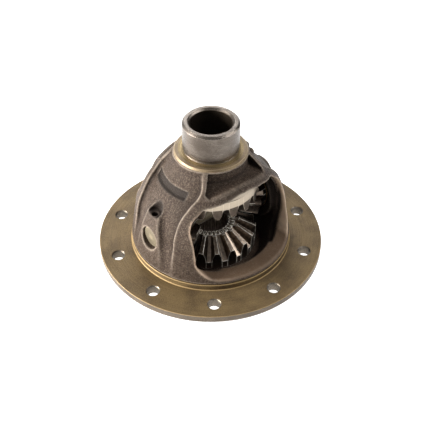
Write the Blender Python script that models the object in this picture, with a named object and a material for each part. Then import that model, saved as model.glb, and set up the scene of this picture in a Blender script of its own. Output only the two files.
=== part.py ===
"""Open differential of a light-truck axle: a one-piece cast case with its gears.

The case stands on its lower bearing journal, +Z runs along the axle axis and +X
along the cross pin.  The windows of the case open toward -Y and +Y.
Heights in the constants are measured from the gear centre, where the axle axis
meets the cross-pin axis.
"""

import math

import bmesh
import bpy
from mathutils import Matrix, Vector

MM = 0.001

# --- driving dimensions -----------------------------------------------------

# Gear centre above the end of the lower journal
CENTRE_HEIGHT = 83.0 * MM
# Clearance between neighbouring pieces
GAP = 0.3 * MM
# Small chamfer that breaks a machined edge
EDGE_BREAK = 0.4 * MM

# Cutters run from CUT_START to CUT_REACH, past every surface that they open;
# the turned cores that trim them run from CORE_BOTTOM to CORE_TOP
CUT_START = 15.0 * MM
CUT_REACH = 95.0 * MM
CORE_BOTTOM = -60.0 * MM
CORE_TOP = 80.0 * MM

# Ring-gear flange
FLANGE_RADIUS = 98.9 * MM
FLANGE_TOP = -31.0 * MM
FLANGE_THICKNESS = 9.0 * MM
FLANGE_RIM_HEIGHT = 6.0 * MM
FLANGE_RIM_DRAFT = 2.6 * MM
BOLT_COUNT = 10
BOLT_CIRCLE_RADIUS = 85.2 * MM
BOLT_HOLE_RADIUS = 5.1 * MM
BOLT_CHAMFER = 0.9 * MM
DRILL_OVERRUN = 1.0 * MM

# Pilot ring that centres the ring gear
PILOT_RADIUS = 70.2 * MM
PILOT_HEIGHT = 5.5 * MM
PILOT_CHAMFER = 0.8 * MM
GROOVE_RADIUS = 67.8 * MM
GROOVE_TOP = 6.6 * MM

# Cast shell: a slightly tapered wall, a domed shoulder and a cone up to the hub
WALL_FOOT_RADIUS = 69.8 * MM
DOME_RADIUS = 65.3 * MM
DOME_HEIGHT = 63.0 * MM
DOME_CENTRE = -1.0 * MM
DOME_START = 5.0 * MM
DOME_END = 43.0 * MM
DOME_STEPS = 6
CONE_TOP_RADIUS = 31.6 * MM
CONE_TOP = 61.6 * MM

# Upper and lower hub: bearing shoulder and journal
SHOULDER_RADIUS = 29.8 * MM
SHOULDER_CHAMFER = 0.9 * MM
SHOULDER_CHAMFER_HEIGHT = 1.44 * MM
UPPER_SHOULDER = 63.6 * MM
LOWER_SHOULDER = -58.0 * MM
UNDERCUT_RADIUS = 22.6 * MM
UNDERCUT_HEIGHT = 1.4 * MM
UNDERCUT_FACE_RADIUS = 24.9 * MM
UNDERCUT_RAMP = 0.7 * MM
JOURNAL_RADIUS = 23.3 * MM
JOURNAL_CHAMFER = 1.8 * MM
UPPER_JOURNAL_END = 89.8 * MM
AXLE_BORE_RADIUS = 17.2 * MM
BORE_CHAMFER = 1.8 * MM
LOWER_CONE_RADIUS = 52.0 * MM

# Inside of the case
SEAT_SPHERE_RADIUS = 52.0 * MM
CAST_CAVITY_RADIUS = 58.5 * MM
CAST_CAVITY_HEIGHT = 39.0 * MM
CAVITY_STEPS = 4
GEAR_POCKET_RADIUS = 40.8 * MM
THRUST_PAD_HEIGHT = 40.0 * MM
HUB_BORE_RADIUS = 22.3 * MM
HUB_BORE_DEPTH = 53.0 * MM
HUB_BORE_TAPER = 3.0 * MM
POCKET_RELIEF = 1.5 * MM
CAVITY_INNER_RADIUS = 30.0 * MM
PINION_BOSS_RADIUS = 29.0 * MM
PINION_BOSS_START = 33.0 * MM
PINION_BOSS_END = 75.0 * MM

# Windows, as corners (x, height) of the right half with their corner radii
WINDOW_CORNERS = (
    (49.6 * MM, -21.0 * MM, 15.0 * MM),
    (48.0 * MM, 26.0 * MM, 16.0 * MM),
    (35.5 * MM, 38.5 * MM, 11.0 * MM),
    (0.0, 46.0 * MM, 60.0 * MM),
)
WINDOW_DEPTH = 30.0 * MM
WINDOW_CORE_RADIUS = 42.8 * MM

# Lightening pockets in the cast surface
FACE_POCKET_CORNERS = (
    (27.0 * MM, -23.6 * MM, 3.0 * MM),
    (24.8 * MM, 28.0 * MM, 30.0 * MM),
    (27.5 * MM, 48.0 * MM, 12.0 * MM),
    (20.0 * MM, 61.0 * MM, 1.5 * MM),
)
FACE_POCKET_DEPTH = 3.6 * MM
FLOOR_TOP = 60.9 * MM
FLOOR_RUN_OUT = 0.6 * MM
PIN_BOSS_CORNERS = (
    (18.5 * MM, -40.0 * MM, 1.0 * MM),
    (16.0 * MM, -12.0 * MM, 10.0 * MM),
    (12.5 * MM, 5.0 * MM, 10.0 * MM),
    (7.0 * MM, 27.0 * MM, 6.0 * MM),
)
TOP_POCKET_CORNERS = (
    (30.5 * MM, 45.0 * MM, 1.5 * MM),
    (20.8 * MM, 61.0 * MM, 1.5 * MM),
)
TOP_POCKET_CROWN = (0.0, 51.8 * MM, 60.0 * MM)
TOP_POCKET_WALL = 30.2 * MM
TOP_POCKET_FLOOR = 48.8 * MM
TOP_POCKET_FILLET = 2.5 * MM
TOP_POCKET_RIM_RADIUS = 52.0 * MM
TOP_POCKET_RIM = 37.0 * MM
TOP_POCKET_SKIRT_RADIUS = 64.0 * MM
TOP_POCKET_SKIRT = 25.0 * MM

# Blank cast label recess on the left pin face, cast nubs on the right one
LABEL_LEFT = -22.5 * MM
LABEL_RIGHT = 17.5 * MM
LABEL_BOTTOM = 40.2 * MM
LABEL_TOP = 45.6 * MM
LABEL_CORNER = 0.8 * MM
LABEL_DEPTH = 1.6 * MM
NUB_RADIUS = 3.0 * MM
NUB_FOOT_RADIUS = 46.0 * MM
NUB_PLACES = ((-14.0 * MM, 54.0 * MM), (-4.5 * MM, 54.0 * MM))

# Cross pin and the spring pin that locks it
PIN_RADIUS = 9.525 * MM
PIN_HALF_LENGTH = 63.0 * MM
PIN_CHAMFER = 1.0 * MM
LOCK_PIN_X = -57.3 * MM
LOCK_PIN_RADIUS = 2.4 * MM
LOCK_PIN_WALL = 0.9 * MM
LOCK_PIN_SLIT = 50.0
LOCK_PIN_BOTTOM = -14.0 * MM
LOCK_PIN_TOP = 17.0 * MM
LOCK_SPOT_RADIUS = 6.2 * MM
LOCK_SPOT_FLOOR = 23.0 * MM
LOCK_SPOT_TOP = 60.0 * MM
LOCK_HOLE_IN_PIN = 20.0 * MM

# Straight bevel gears whose pitch cones meet in the gear centre
SIDE_TEETH = 18
PINION_TEETH = 10
HEEL_DISTANCE = 44.05 * MM
TOE_DISTANCE = 28.0 * MM
PRESSURE_ANGLE = math.radians(22.5)
MODULE = 2.0 * HEEL_DISTANCE / math.hypot(SIDE_TEETH, PINION_TEETH)
SIDE_ADDENDUM = 0.544 * MODULE
WORKING_DEPTH = 1.6 * MODULE
WHOLE_DEPTH = 1.8 * MODULE
BACKLASH = 0.5 * MM

# Side gears
SIDE_RIM_RADIUS = 40.0 * MM
SIDE_RIM_TOP = 36.6 * MM
SIDE_THRUST_RADIUS = 38.4 * MM
SIDE_THRUST_FACE = 38.3 * MM
SIDE_TOE_FACE = 14.8 * MM
SIDE_TOE_RADIUS = 21.2 * MM
SIDE_HUB_RADIUS = 21.8 * MM
SIDE_HUB_END = 52.0 * MM
SPLINE_TEETH = 30
SPLINE_MAJOR_RADIUS = 16.7 * MM
SPLINE_MINOR_RADIUS = 15.6 * MM
SIDE_HUB_CHAMFER = 0.8 * MM

# Pinions
PINION_TOE_FACE = 24.6 * MM
PINION_TOE_RADIUS = 11.0 * MM
PINION_WEB = 42.6 * MM
PINION_WEB_RADIUS = 20.8 * MM
PINION_BACK_RADIUS = 50.5 * MM
PINION_BACK_EDGE = 20.3 * MM
PINION_BORE_RADIUS = PIN_RADIUS + GAP

# Thrust washers
WASHER_OUTER_RADIUS = 38.4 * MM
WASHER_EDGE_RADIUS = 20.6 * MM

# Smoothness of round shapes; a turned ring of the case has more sides where it is larger
FLANGE_SEGMENTS = 80
SHELL_SEGMENTS = 60
FLANGE_ZONE = 66.0 * MM
SHELL_ZONE = 31.0 * MM
ROUND_SEGMENTS = 48
PIN_SEGMENTS = 32
HOLE_SEGMENTS = 12
SMALL_SEGMENTS = 12

CENTRE = Vector((0.0, 0.0, CENTRE_HEIGHT))
ALONG_X = Matrix.Rotation(math.radians(90.0), 4, "Y")
AGAINST_X = Matrix.Rotation(math.radians(-90.0), 4, "Y")
UPSIDE_DOWN = Matrix.Rotation(math.radians(180.0), 4, "X")


# --- small helpers ------------------------------------------------------------

def clear_scene():
    """Remove the objects that the new file starts with."""
    for item in list(bpy.data.objects):
        bpy.data.objects.remove(item, do_unlink=True)


def make_material(name, colour, roughness, metallic):
    """Return a Principled material for one piece."""
    material = bpy.data.materials.new(name)
    material.use_nodes = True
    shader = material.node_tree.nodes["Principled BSDF"]
    shader.inputs["Base Color"].default_value = (*colour, 1.0)
    shader.inputs["Roughness"].default_value = roughness
    shader.inputs["Metallic"].default_value = metallic
    material.diffuse_color = (*colour, 1.0)
    return material


def add_object(name, bm, turn=Matrix.Identity(4)):
    """Finish a bmesh and place it, turned, in the gear centre."""
    bmesh.ops.recalc_face_normals(bm, faces=bm.faces)
    mesh = bpy.data.meshes.new(name)
    bm.to_mesh(mesh)
    bm.free()
    mesh.shade_smooth()
    mesh.set_sharp_from_angle(angle=math.radians(30.0))
    item = bpy.data.objects.new(name, mesh)
    item.matrix_world = Matrix.Translation(CENTRE) @ turn
    bpy.context.collection.objects.link(item)
    return item


def as_cutter(item):
    """Mark an object as a construction shape that is not part of the model."""
    item.hide_render = True
    item.display_type = "WIRE"
    return item


def combine(item, cutter, operation):
    """Add a Boolean modifier that joins or removes the cutter."""
    modifier = item.modifiers.new(cutter.name, "BOOLEAN")
    modifier.operation = operation
    modifier.object = cutter
    modifier.solver = "EXACT"


def ring(bm, points):
    """Add a closed ring of vertices."""
    return [bm.verts.new(point) for point in points]


def circle(bm, radius, height, count):
    """Add a round ring about Z."""
    angles = [2.0 * math.pi * step / count for step in range(count)]
    return ring(bm, [(radius * math.cos(a), radius * math.sin(a), height) for a in angles])


def turn_of(vertex):
    """Return the angle of a vertex about Z, from zero to a full turn."""
    angle = math.atan2(vertex.co.y, vertex.co.x)
    return angle if angle > -1e-6 else angle + 2.0 * math.pi


def stitch(bm, first, second):
    """Fill the band between two rings about Z that may have different counts."""
    i = 0
    j = 0
    full = 2.0 * math.pi
    while i < len(first) or j < len(second):
        a = first[i % len(first)]
        b = second[j % len(second)]
        next_a = first[(i + 1) % len(first)]
        next_b = second[(j + 1) % len(second)]
        angle_a = turn_of(next_a) + (full if i + 1 >= len(first) else 0.0)
        angle_b = turn_of(next_b) + (full if j + 1 >= len(second) else 0.0)
        even = len(first) == len(second) and i == j
        if even:
            bm.faces.new((a, next_a, next_b, b))
            i += 1
            j += 1
        elif j >= len(second) or (i < len(first) and angle_a <= angle_b):
            bm.faces.new((a, next_a, b))
            i += 1
        else:
            bm.faces.new((a, next_b, b))
            j += 1


def case_sides(radius):
    """Return the number of sides of a turned ring of the case."""
    if radius > FLANGE_ZONE:
        return FLANGE_SEGMENTS
    return SHELL_SEGMENTS if radius > SHELL_ZONE else ROUND_SEGMENTS


def lathe(name, profile, segments=None, turn=Matrix.Identity(4)):
    """Turn a closed profile of (radius, height) points about Z."""
    bm = bmesh.new()
    rings = [circle(bm, radius, height, segments or case_sides(radius)) for radius, height in profile]
    for current, following in zip(rings, rings[1:] + rings[:1]):
        stitch(bm, current, following)
    return add_object(name, bm, turn)


def solid_lathe(name, profile, segments, turn=Matrix.Identity(4)):
    """Turn an open profile about Z and close it with flat ends."""
    bm = bmesh.new()
    rings = [circle(bm, radius, height, segments) for radius, height in profile]
    for current, following in zip(rings, rings[1:]):
        stitch(bm, current, following)
    bm.faces.new(rings[0])
    bm.faces.new(rings[-1])
    return add_object(name, bm, turn)


def arc_points(centre, radii, start, end, steps):
    """Return points of an elliptic arc in the (radius, height) plane."""
    points = []
    for step in range(steps + 1):
        angle = start + (end - start) * step / steps
        points.append((centre[0] + radii[0] * math.cos(angle), centre[1] + radii[1] * math.sin(angle)))
    return points


def rounded(corners, steps=5):
    """Round each corner (u, v, radius) of a closed outline."""
    outline = []
    count = len(corners)
    for index, (u, v, radius) in enumerate(corners):
        here = Vector((u, v))
        before = (Vector(corners[index - 1][:2]) - here).normalized()
        after = (Vector(corners[(index + 1) % count][:2]) - here).normalized()
        half = before.angle(after) / 2.0
        reach = radius / math.tan(half)
        middle = here + (before + after).normalized() * (radius / math.sin(half))
        start = here + before * reach - middle
        end = here + after * reach - middle
        sweep = start.angle_signed(end)
        for step in range(steps + 1):
            spoke = start.copy()
            spoke.rotate(Matrix.Rotation(-sweep * step / steps, 2))
            outline.append(middle + spoke)
    return outline


def mirrored(half):
    """Complete the right half of an outline, leaving a point on the axis single."""
    left = [(-u, v, radius) for u, v, radius in reversed(half) if u > 0.0]
    return list(half) + left


def prism_between(name, outline, along, near, far):
    """Extrude an outline along X or Y between two distances from the centre."""
    bm = bmesh.new()
    rows = []
    for depth in (near, far):
        if along == "X":
            rows.append(ring(bm, [(depth, u, v) for u, v in outline]))
        else:
            rows.append(ring(bm, [(u, depth, v) for u, v in outline]))
    count = len(outline)
    for index in range(count):
        following = (index + 1) % count
        bm.faces.new((rows[0][index], rows[0][following], rows[1][following], rows[1][index]))
    bm.faces.new(rows[0])
    bm.faces.new(rows[1])
    return add_object(name, bm)


# --- case -----------------------------------------------------------------------

def dome_profile(inset):
    """Return the cast outer surface, moved inward by inset, from wall foot to hub."""
    foot = FLANGE_TOP + GROOVE_TOP
    start = math.asin((DOME_START - DOME_CENTRE) / DOME_HEIGHT)
    end = math.asin((DOME_END - DOME_CENTRE) / DOME_HEIGHT)
    radii = (DOME_RADIUS - inset, DOME_HEIGHT - inset)
    dome = arc_points((0.0, DOME_CENTRE), radii, start, end, DOME_STEPS)
    return [(WALL_FOOT_RADIUS - inset, foot)] + dome + [(CONE_TOP_RADIUS - inset, CONE_TOP)]


def hub_profile(shoulder, end, side):
    """Return shoulder, undercut and journal; side is +1 for the upper hub, -1 for the lower."""
    return [
        (SHOULDER_RADIUS + SHOULDER_CHAMFER, shoulder - side * SHOULDER_CHAMFER_HEIGHT),
        (SHOULDER_RADIUS, shoulder),
        (UNDERCUT_FACE_RADIUS, shoulder),
        (UNDERCUT_RADIUS, shoulder + side * EDGE_BREAK),
        (UNDERCUT_RADIUS, shoulder + side * UNDERCUT_HEIGHT),
        (JOURNAL_RADIUS, shoulder + side * (UNDERCUT_HEIGHT + UNDERCUT_RAMP)),
        (JOURNAL_RADIUS, end - side * JOURNAL_CHAMFER),
        (JOURNAL_RADIUS - JOURNAL_CHAMFER, end),
        (AXLE_BORE_RADIUS + BORE_CHAMFER, end),
        (AXLE_BORE_RADIUS, end - side * BORE_CHAMFER),
    ]


def cavity_profile():
    """Return the machined inside of the case from the upper to the lower hub bore."""
    rise = math.acos(GEAR_POCKET_RADIUS / SEAT_SPHERE_RADIUS)
    sphere = arc_points((0.0, 0.0), (SEAT_SPHERE_RADIUS,) * 2, rise, -rise, 2 * CAVITY_STEPS)
    upper = [
        (AXLE_BORE_RADIUS, HUB_BORE_DEPTH + HUB_BORE_TAPER),
        (HUB_BORE_RADIUS, HUB_BORE_DEPTH),
        (HUB_BORE_RADIUS, THRUST_PAD_HEIGHT),
        (GEAR_POCKET_RADIUS - POCKET_RELIEF, THRUST_PAD_HEIGHT),
        (GEAR_POCKET_RADIUS, THRUST_PAD_HEIGHT - POCKET_RELIEF),
    ]
    lower = [(radius, -height) for radius, height in reversed(upper)]
    return upper + sphere + lower


def case_profile():
    """Return the whole turned section of the case as one closed loop."""
    flange_back = FLANGE_TOP - FLANGE_THICKNESS
    pilot_top = FLANGE_TOP + PILOT_HEIGHT
    lower_hub = hub_profile(LOWER_SHOULDER, -CENTRE_HEIGHT, -1.0)
    upper_hub = hub_profile(UPPER_SHOULDER, UPPER_JOURNAL_END, 1.0)
    flange = [
        (LOWER_CONE_RADIUS, flange_back),
        (FLANGE_RADIUS - FLANGE_RIM_DRAFT, flange_back),
        (FLANGE_RADIUS, FLANGE_TOP - FLANGE_RIM_HEIGHT),
        (FLANGE_RADIUS, FLANGE_TOP - EDGE_BREAK),
        (FLANGE_RADIUS - EDGE_BREAK, FLANGE_TOP),
        (PILOT_RADIUS, FLANGE_TOP),
        (PILOT_RADIUS, pilot_top - PILOT_CHAMFER),
        (PILOT_RADIUS - PILOT_CHAMFER, pilot_top),
        (GROOVE_RADIUS, pilot_top),
    ]
    return list(reversed(lower_hub)) + flange + dome_profile(0.0) + upper_hub + cavity_profile()


def outside_of(name, outline, along, inner_profile, start=CUT_START):
    """Return a prism along +X or +Y from which a turned core is removed."""
    prism = prism_between(name, outline, along, start, CUT_REACH)
    core = as_cutter(solid_lathe(name + "_core", inner_profile, SHELL_SEGMENTS))
    combine(prism, core, "DIFFERENCE")
    return as_cutter(prism)


def facing(side, cutter):
    """Swing a cutter and the shapes that trim it half a turn about the axle for side -1."""
    half_turn = Matrix.Rotation(math.pi if side < 0 else 0.0, 4, "Z")
    for item in [cutter] + [modifier.object for modifier in cutter.modifiers]:
        item.matrix_world = half_turn @ item.matrix_world
    return cutter


def pocket_floor(depth):
    """Return the turned core below a pin-face pocket, which meets the hub wall on top."""
    dome = [(WALL_FOOT_RADIUS + FLOOR_RUN_OUT, FLANGE_TOP + GROOVE_TOP)] + dome_profile(depth)[1:-1]
    hub = [(TOP_POCKET_WALL, FLOOR_TOP), (TOP_POCKET_WALL, CORE_TOP)]
    return [(dome[0][0], CORE_BOTTOM)] + dome + hub


def face_pocket(side, name):
    """Return the cutter of one pin-face pocket; it leaves the pin boss standing."""
    floor = pocket_floor(FACE_POCKET_DEPTH)
    cutter = outside_of(name, rounded(mirrored(FACE_POCKET_CORNERS)), "X", floor)
    outline = rounded(mirrored(PIN_BOSS_CORNERS))
    boss = prism_between(name + "_boss", outline, "X", 0.5 * CUT_START, CUT_REACH + CUT_START)
    combine(cutter, as_cutter(boss), "DIFFERENCE")
    return facing(side, cutter)


def top_pocket(side, name):
    """Return the cutter of one pocket between a window and the hub."""
    corners = mirrored(TOP_POCKET_CORNERS) + [TOP_POCKET_CROWN]
    floor = [
        (TOP_POCKET_SKIRT_RADIUS, CORE_BOTTOM),
        (TOP_POCKET_SKIRT_RADIUS, TOP_POCKET_SKIRT),
        (TOP_POCKET_RIM_RADIUS, TOP_POCKET_RIM),
        (TOP_POCKET_WALL + TOP_POCKET_FILLET, TOP_POCKET_FLOOR),
        (TOP_POCKET_WALL, TOP_POCKET_FLOOR + TOP_POCKET_FILLET),
        (TOP_POCKET_WALL, CORE_TOP),
    ]
    return facing(side, outside_of(name, rounded(corners), "Y", floor))


def window_cutter(side, name):
    """Return the prism of one window, which stops short of the side gears' seats."""
    core = [(WINDOW_CORE_RADIUS, CORE_BOTTOM), (WINDOW_CORE_RADIUS, CORE_TOP)]
    cutter = outside_of(name, rounded(mirrored(WINDOW_CORNERS)), "Y", core, WINDOW_DEPTH)
    return facing(side, cutter)


def cast_cavity():
    """Return the rough inside of the shell, which leaves the pinion seats standing."""
    rise = math.asin(CAST_CAVITY_HEIGHT / CAST_CAVITY_RADIUS)
    arc = arc_points((0.0, 0.0), (CAST_CAVITY_RADIUS,) * 2, rise, -rise, 2 * CAVITY_STEPS)
    top = (CAVITY_INNER_RADIUS, CAST_CAVITY_HEIGHT)
    bottom = (CAVITY_INNER_RADIUS, -CAST_CAVITY_HEIGHT)
    profile = [top] + arc + [bottom]
    cavity = as_cutter(lathe("cut_cavity", profile, SHELL_SEGMENTS))
    for name, turn in (("right", ALONG_X), ("left", AGAINST_X)):
        seat = [(PINION_BOSS_RADIUS, PINION_BOSS_START), (PINION_BOSS_RADIUS, PINION_BOSS_END)]
        boss = as_cutter(solid_lathe("seat_" + name, seat, ROUND_SEGMENTS, turn))
        combine(cavity, boss, "DIFFERENCE")
    return cavity


def bolt_holes():
    """Return all ring-gear bolt holes as one cutter of chamfered drills."""
    top = FLANGE_TOP
    bottom = FLANGE_TOP - FLANGE_THICKNESS
    wide = BOLT_HOLE_RADIUS + BOLT_CHAMFER
    drill = [
        (wide + DRILL_OVERRUN, bottom - DRILL_OVERRUN),
        (BOLT_HOLE_RADIUS, bottom + BOLT_CHAMFER),
        (BOLT_HOLE_RADIUS, top - BOLT_CHAMFER),
        (wide + DRILL_OVERRUN, top + DRILL_OVERRUN),
    ]
    bm = bmesh.new()
    for index in range(BOLT_COUNT):
        angle = 2.0 * math.pi * index / BOLT_COUNT - math.pi / 2.0
        place = Vector((math.cos(angle), math.sin(angle), 0.0)) * BOLT_CIRCLE_RADIUS
        rings = [circle(bm, radius, height, HOLE_SEGMENTS) for radius, height in drill]
        for current, following in zip(rings, rings[1:]):
            stitch(bm, current, following)
        bm.faces.new(rings[0])
        bm.faces.new(rings[-1])
        bmesh.ops.translate(bm, verts=[vertex for loop in rings for vertex in loop], vec=place)
    return as_cutter(add_object("cut_bolt_holes", bm))


def lock_hole(name, radius):
    """Return the vertical drill of the lock pin with its spot face."""
    drill = [
        (radius, LOCK_PIN_BOTTOM - GAP),
        (radius, LOCK_SPOT_FLOOR),
        (LOCK_SPOT_RADIUS, LOCK_SPOT_FLOOR),
        (LOCK_SPOT_RADIUS, LOCK_SPOT_TOP),
    ]
    cutter = solid_lathe(name, drill, HOLE_SEGMENTS, Matrix.Rotation(math.pi / HOLE_SEGMENTS, 4, "Z"))
    cutter.matrix_world = Matrix.Translation((LOCK_PIN_X, 0.0, 0.0)) @ cutter.matrix_world
    return as_cutter(cutter)


def label_recess():
    """Return the cutter of the blank label recess on the left pin face."""
    corners = (
        (LABEL_RIGHT, LABEL_BOTTOM, LABEL_CORNER),
        (LABEL_RIGHT, LABEL_TOP, LABEL_CORNER),
        (LABEL_LEFT, LABEL_TOP, LABEL_CORNER),
        (LABEL_LEFT, LABEL_BOTTOM, LABEL_CORNER),
    )
    floor = pocket_floor(FACE_POCKET_DEPTH + LABEL_DEPTH)
    return facing(-1.0, outside_of("cut_label", rounded(corners, 2), "X", floor))


def cast_nub(index, y, height):
    """Return one raised round nub on the right pin face."""
    cone_slope = (CONE_TOP_RADIUS - NUB_FOOT_RADIUS) / (CONE_TOP - DOME_END)
    surface = NUB_FOOT_RADIUS + (height - DOME_END) * cone_slope - FACE_POCKET_DEPTH
    bm = bmesh.new()
    bmesh.ops.create_icosphere(bm, subdivisions=2, radius=NUB_RADIUS)
    nub = as_cutter(add_object(f"add_nub_{index}", bm))
    x = math.sqrt(surface * surface - y * y)
    nub.matrix_world = Matrix.Translation((x, y, height)) @ nub.matrix_world
    return nub


def build_case():
    """Make the cast and machined case."""
    case = lathe("differential_case", case_profile())
    combine(case, cast_cavity(), "DIFFERENCE")
    for side, name in ((-1.0, "front"), (1.0, "back")):
        combine(case, window_cutter(side, "cut_window_" + name), "DIFFERENCE")
        combine(case, top_pocket(side, "cut_top_pocket_" + name), "DIFFERENCE")
    for side, name in ((-1.0, "left"), (1.0, "right")):
        combine(case, face_pocket(side, "cut_face_pocket_" + name), "DIFFERENCE")
    combine(case, label_recess(), "DIFFERENCE")
    for index, (y, height) in enumerate(NUB_PLACES):
        combine(case, cast_nub(index, y, height), "UNION")
    bore = [(PIN_RADIUS + GAP, -CUT_REACH), (PIN_RADIUS + GAP, CUT_REACH)]
    combine(case, as_cutter(solid_lathe("cut_pin_bore", bore, PIN_SEGMENTS, ALONG_X)), "DIFFERENCE")
    combine(case, lock_hole("cut_lock_hole", LOCK_PIN_RADIUS + GAP), "DIFFERENCE")
    combine(case, bolt_holes(), "DIFFERENCE")
    return case


# --- cross pin ------------------------------------------------------------------

def build_cross_pin():
    """Make the shaft that carries both pinions, drilled for its lock pin."""
    end = PIN_HALF_LENGTH
    profile = [
        (PIN_RADIUS - PIN_CHAMFER, -end),
        (PIN_RADIUS, PIN_CHAMFER - end),
        (PIN_RADIUS, end - PIN_CHAMFER),
        (PIN_RADIUS - PIN_CHAMFER, end),
    ]
    pin = solid_lathe("cross_pin", profile, PIN_SEGMENTS, ALONG_X)
    radius = LOCK_PIN_RADIUS + GAP
    profile = [(radius, -LOCK_HOLE_IN_PIN), (radius, LOCK_HOLE_IN_PIN)]
    drill = solid_lathe("cut_pin_cross_hole", profile, HOLE_SEGMENTS)
    drill.matrix_world = Matrix.Translation((LOCK_PIN_X, 0.0, 0.0)) @ drill.matrix_world
    combine(pin, as_cutter(drill), "DIFFERENCE")
    return pin


def build_lock_pin():
    """Make the slit spring pin, an open rolled tube."""
    bm = bmesh.new()
    slit = math.radians(LOCK_PIN_SLIT)
    section = []
    for radius, direction in ((LOCK_PIN_RADIUS, 1), (LOCK_PIN_RADIUS - LOCK_PIN_WALL, -1)):
        for step in range(SMALL_SEGMENTS + 1)[::direction]:
            angle = slit / 2.0 + (2.0 * math.pi - slit) * step / SMALL_SEGMENTS
            section.append((radius * math.cos(angle), radius * math.sin(angle)))
    rows = [ring(bm, [(x, y, z) for x, y in section]) for z in (LOCK_PIN_BOTTOM, LOCK_PIN_TOP)]
    count = len(section)
    for index in range(count):
        following = (index + 1) % count
        bm.faces.new((rows[0][index], rows[0][following], rows[1][following], rows[1][index]))
    half = count // 2
    for row in rows:
        for index in range(half - 1):
            bm.faces.new((row[index], row[index + 1], row[count - 2 - index], row[count - 1 - index]))
    pin = add_object("cross_pin_lock_pin", bm)
    pin.matrix_world = Matrix.Translation((LOCK_PIN_X, 0.0, 0.0)) @ pin.matrix_world
    return pin


# --- bevel gears ----------------------------------------------------------------

def involute(angle):
    """Return the involute function of an angle."""
    return math.tan(angle) - angle


def tooth_outline(teeth, pitch_angle, addendum, thickness, first_tooth):
    """Return the heel outline (radius, turn, height) of a bevel gear with its apex at zero.

    Each flank is the involute of the equivalent spur gear on the back cone: a point at
    the equivalent radius rho has its half thickness divided by the cosine of the pitch
    angle when it is wrapped on the real cone.
    """
    pitch_radius = HEEL_DISTANCE * math.sin(pitch_angle)
    virtual = HEEL_DISTANCE * math.tan(pitch_angle)
    base = virtual * math.cos(PRESSURE_ANGLE)
    tip = virtual + addendum
    root = tip - WHOLE_DEPTH
    middle = thickness / (2.0 * virtual) + involute(PRESSURE_ANGLE)
    flank = []
    for rho in (root, max(base, root) * 0.5 + virtual * 0.5, tip):
        pressure = math.acos(min(1.0, base / rho))
        half = (middle - involute(pressure)) / math.cos(pitch_angle)
        height = rho - virtual
        radius = pitch_radius + height * math.cos(pitch_angle)
        flank.append((radius, half, HEEL_DISTANCE * math.cos(pitch_angle) - height * math.sin(pitch_angle)))
    outline = []
    for tooth in range(teeth):
        turn = 2.0 * math.pi * (tooth + first_tooth) / teeth
        outline += [(radius, turn - half, height) for radius, half, height in flank]
        outline += [(radius, turn + half, height) for radius, half, height in reversed(flank)]
    return outline


def place_outline(bm, outline, scale_of):
    """Add an outline as a ring, each point scaled toward the apex by scale_of(radius)."""
    points = []
    for radius, turn, height in outline:
        scale = scale_of(radius)
        points.append((radius * scale * math.cos(turn), radius * scale * math.sin(turn), height * scale))
    points.sort(key=lambda point: (math.atan2(point[1], point[0]) + 1e-6) % (2.0 * math.pi))
    return ring(bm, points)


def spline_ring(bm, height):
    """Add the internal spline outline at one height."""
    points = []
    for step in range(2 * SPLINE_TEETH):
        angle = math.pi * step / SPLINE_TEETH
        radius = SPLINE_MAJOR_RADIUS if step % 2 else SPLINE_MINOR_RADIUS
        points.append((radius * math.cos(angle), radius * math.sin(angle), height))
    return ring(bm, points)


def stitch_loop(bm, rings):
    """Join a list of rings, and the last one to the first, into one closed body."""
    for current, following in zip(rings, rings[1:] + rings[:1]):
        stitch(bm, current, following)
    bmesh.ops.triangulate(bm, faces=bm.faces)


def side_thickness():
    """Return the pitch thickness of a side-gear tooth at the heel."""
    pinion_extra = (WORKING_DEPTH - 2.0 * SIDE_ADDENDUM) * math.tan(PRESSURE_ANGLE)
    return math.pi * MODULE / 2.0 - pinion_extra - BACKLASH / 2.0


def pinion_thickness():
    """Return the pitch thickness of a pinion tooth at the heel."""
    return math.pi * MODULE - side_thickness() - BACKLASH


def build_side_gear(name, turn):
    """Make one side gear: bevel teeth, rim, thrust face and a splined hub."""
    pitch_angle = math.atan2(SIDE_TEETH, PINION_TEETH)
    outline = tooth_outline(SIDE_TEETH, pitch_angle, SIDE_ADDENDUM, side_thickness(), 0.0)
    toe = TOE_DISTANCE / HEEL_DISTANCE
    bm = bmesh.new()
    rings = [
        spline_ring(bm, SIDE_TOE_FACE),
        circle(bm, SIDE_TOE_RADIUS, SIDE_TOE_FACE, ROUND_SEGMENTS),
        place_outline(bm, outline, lambda radius: toe),
        place_outline(bm, outline, lambda radius: SIDE_RIM_RADIUS / radius),
        circle(bm, SIDE_RIM_RADIUS, SIDE_RIM_TOP, 3 * SIDE_TEETH),
        circle(bm, SIDE_THRUST_RADIUS, SIDE_THRUST_FACE, 3 * SIDE_TEETH),
        circle(bm, SIDE_HUB_RADIUS, SIDE_THRUST_FACE, ROUND_SEGMENTS),
        circle(bm, SIDE_HUB_RADIUS, SIDE_HUB_END - SIDE_HUB_CHAMFER, ROUND_SEGMENTS),
        circle(bm, SIDE_HUB_RADIUS - SIDE_HUB_CHAMFER, SIDE_HUB_END, ROUND_SEGMENTS),
        spline_ring(bm, SIDE_HUB_END),
    ]
    stitch_loop(bm, rings)
    return add_object(name, bm, turn)


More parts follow.
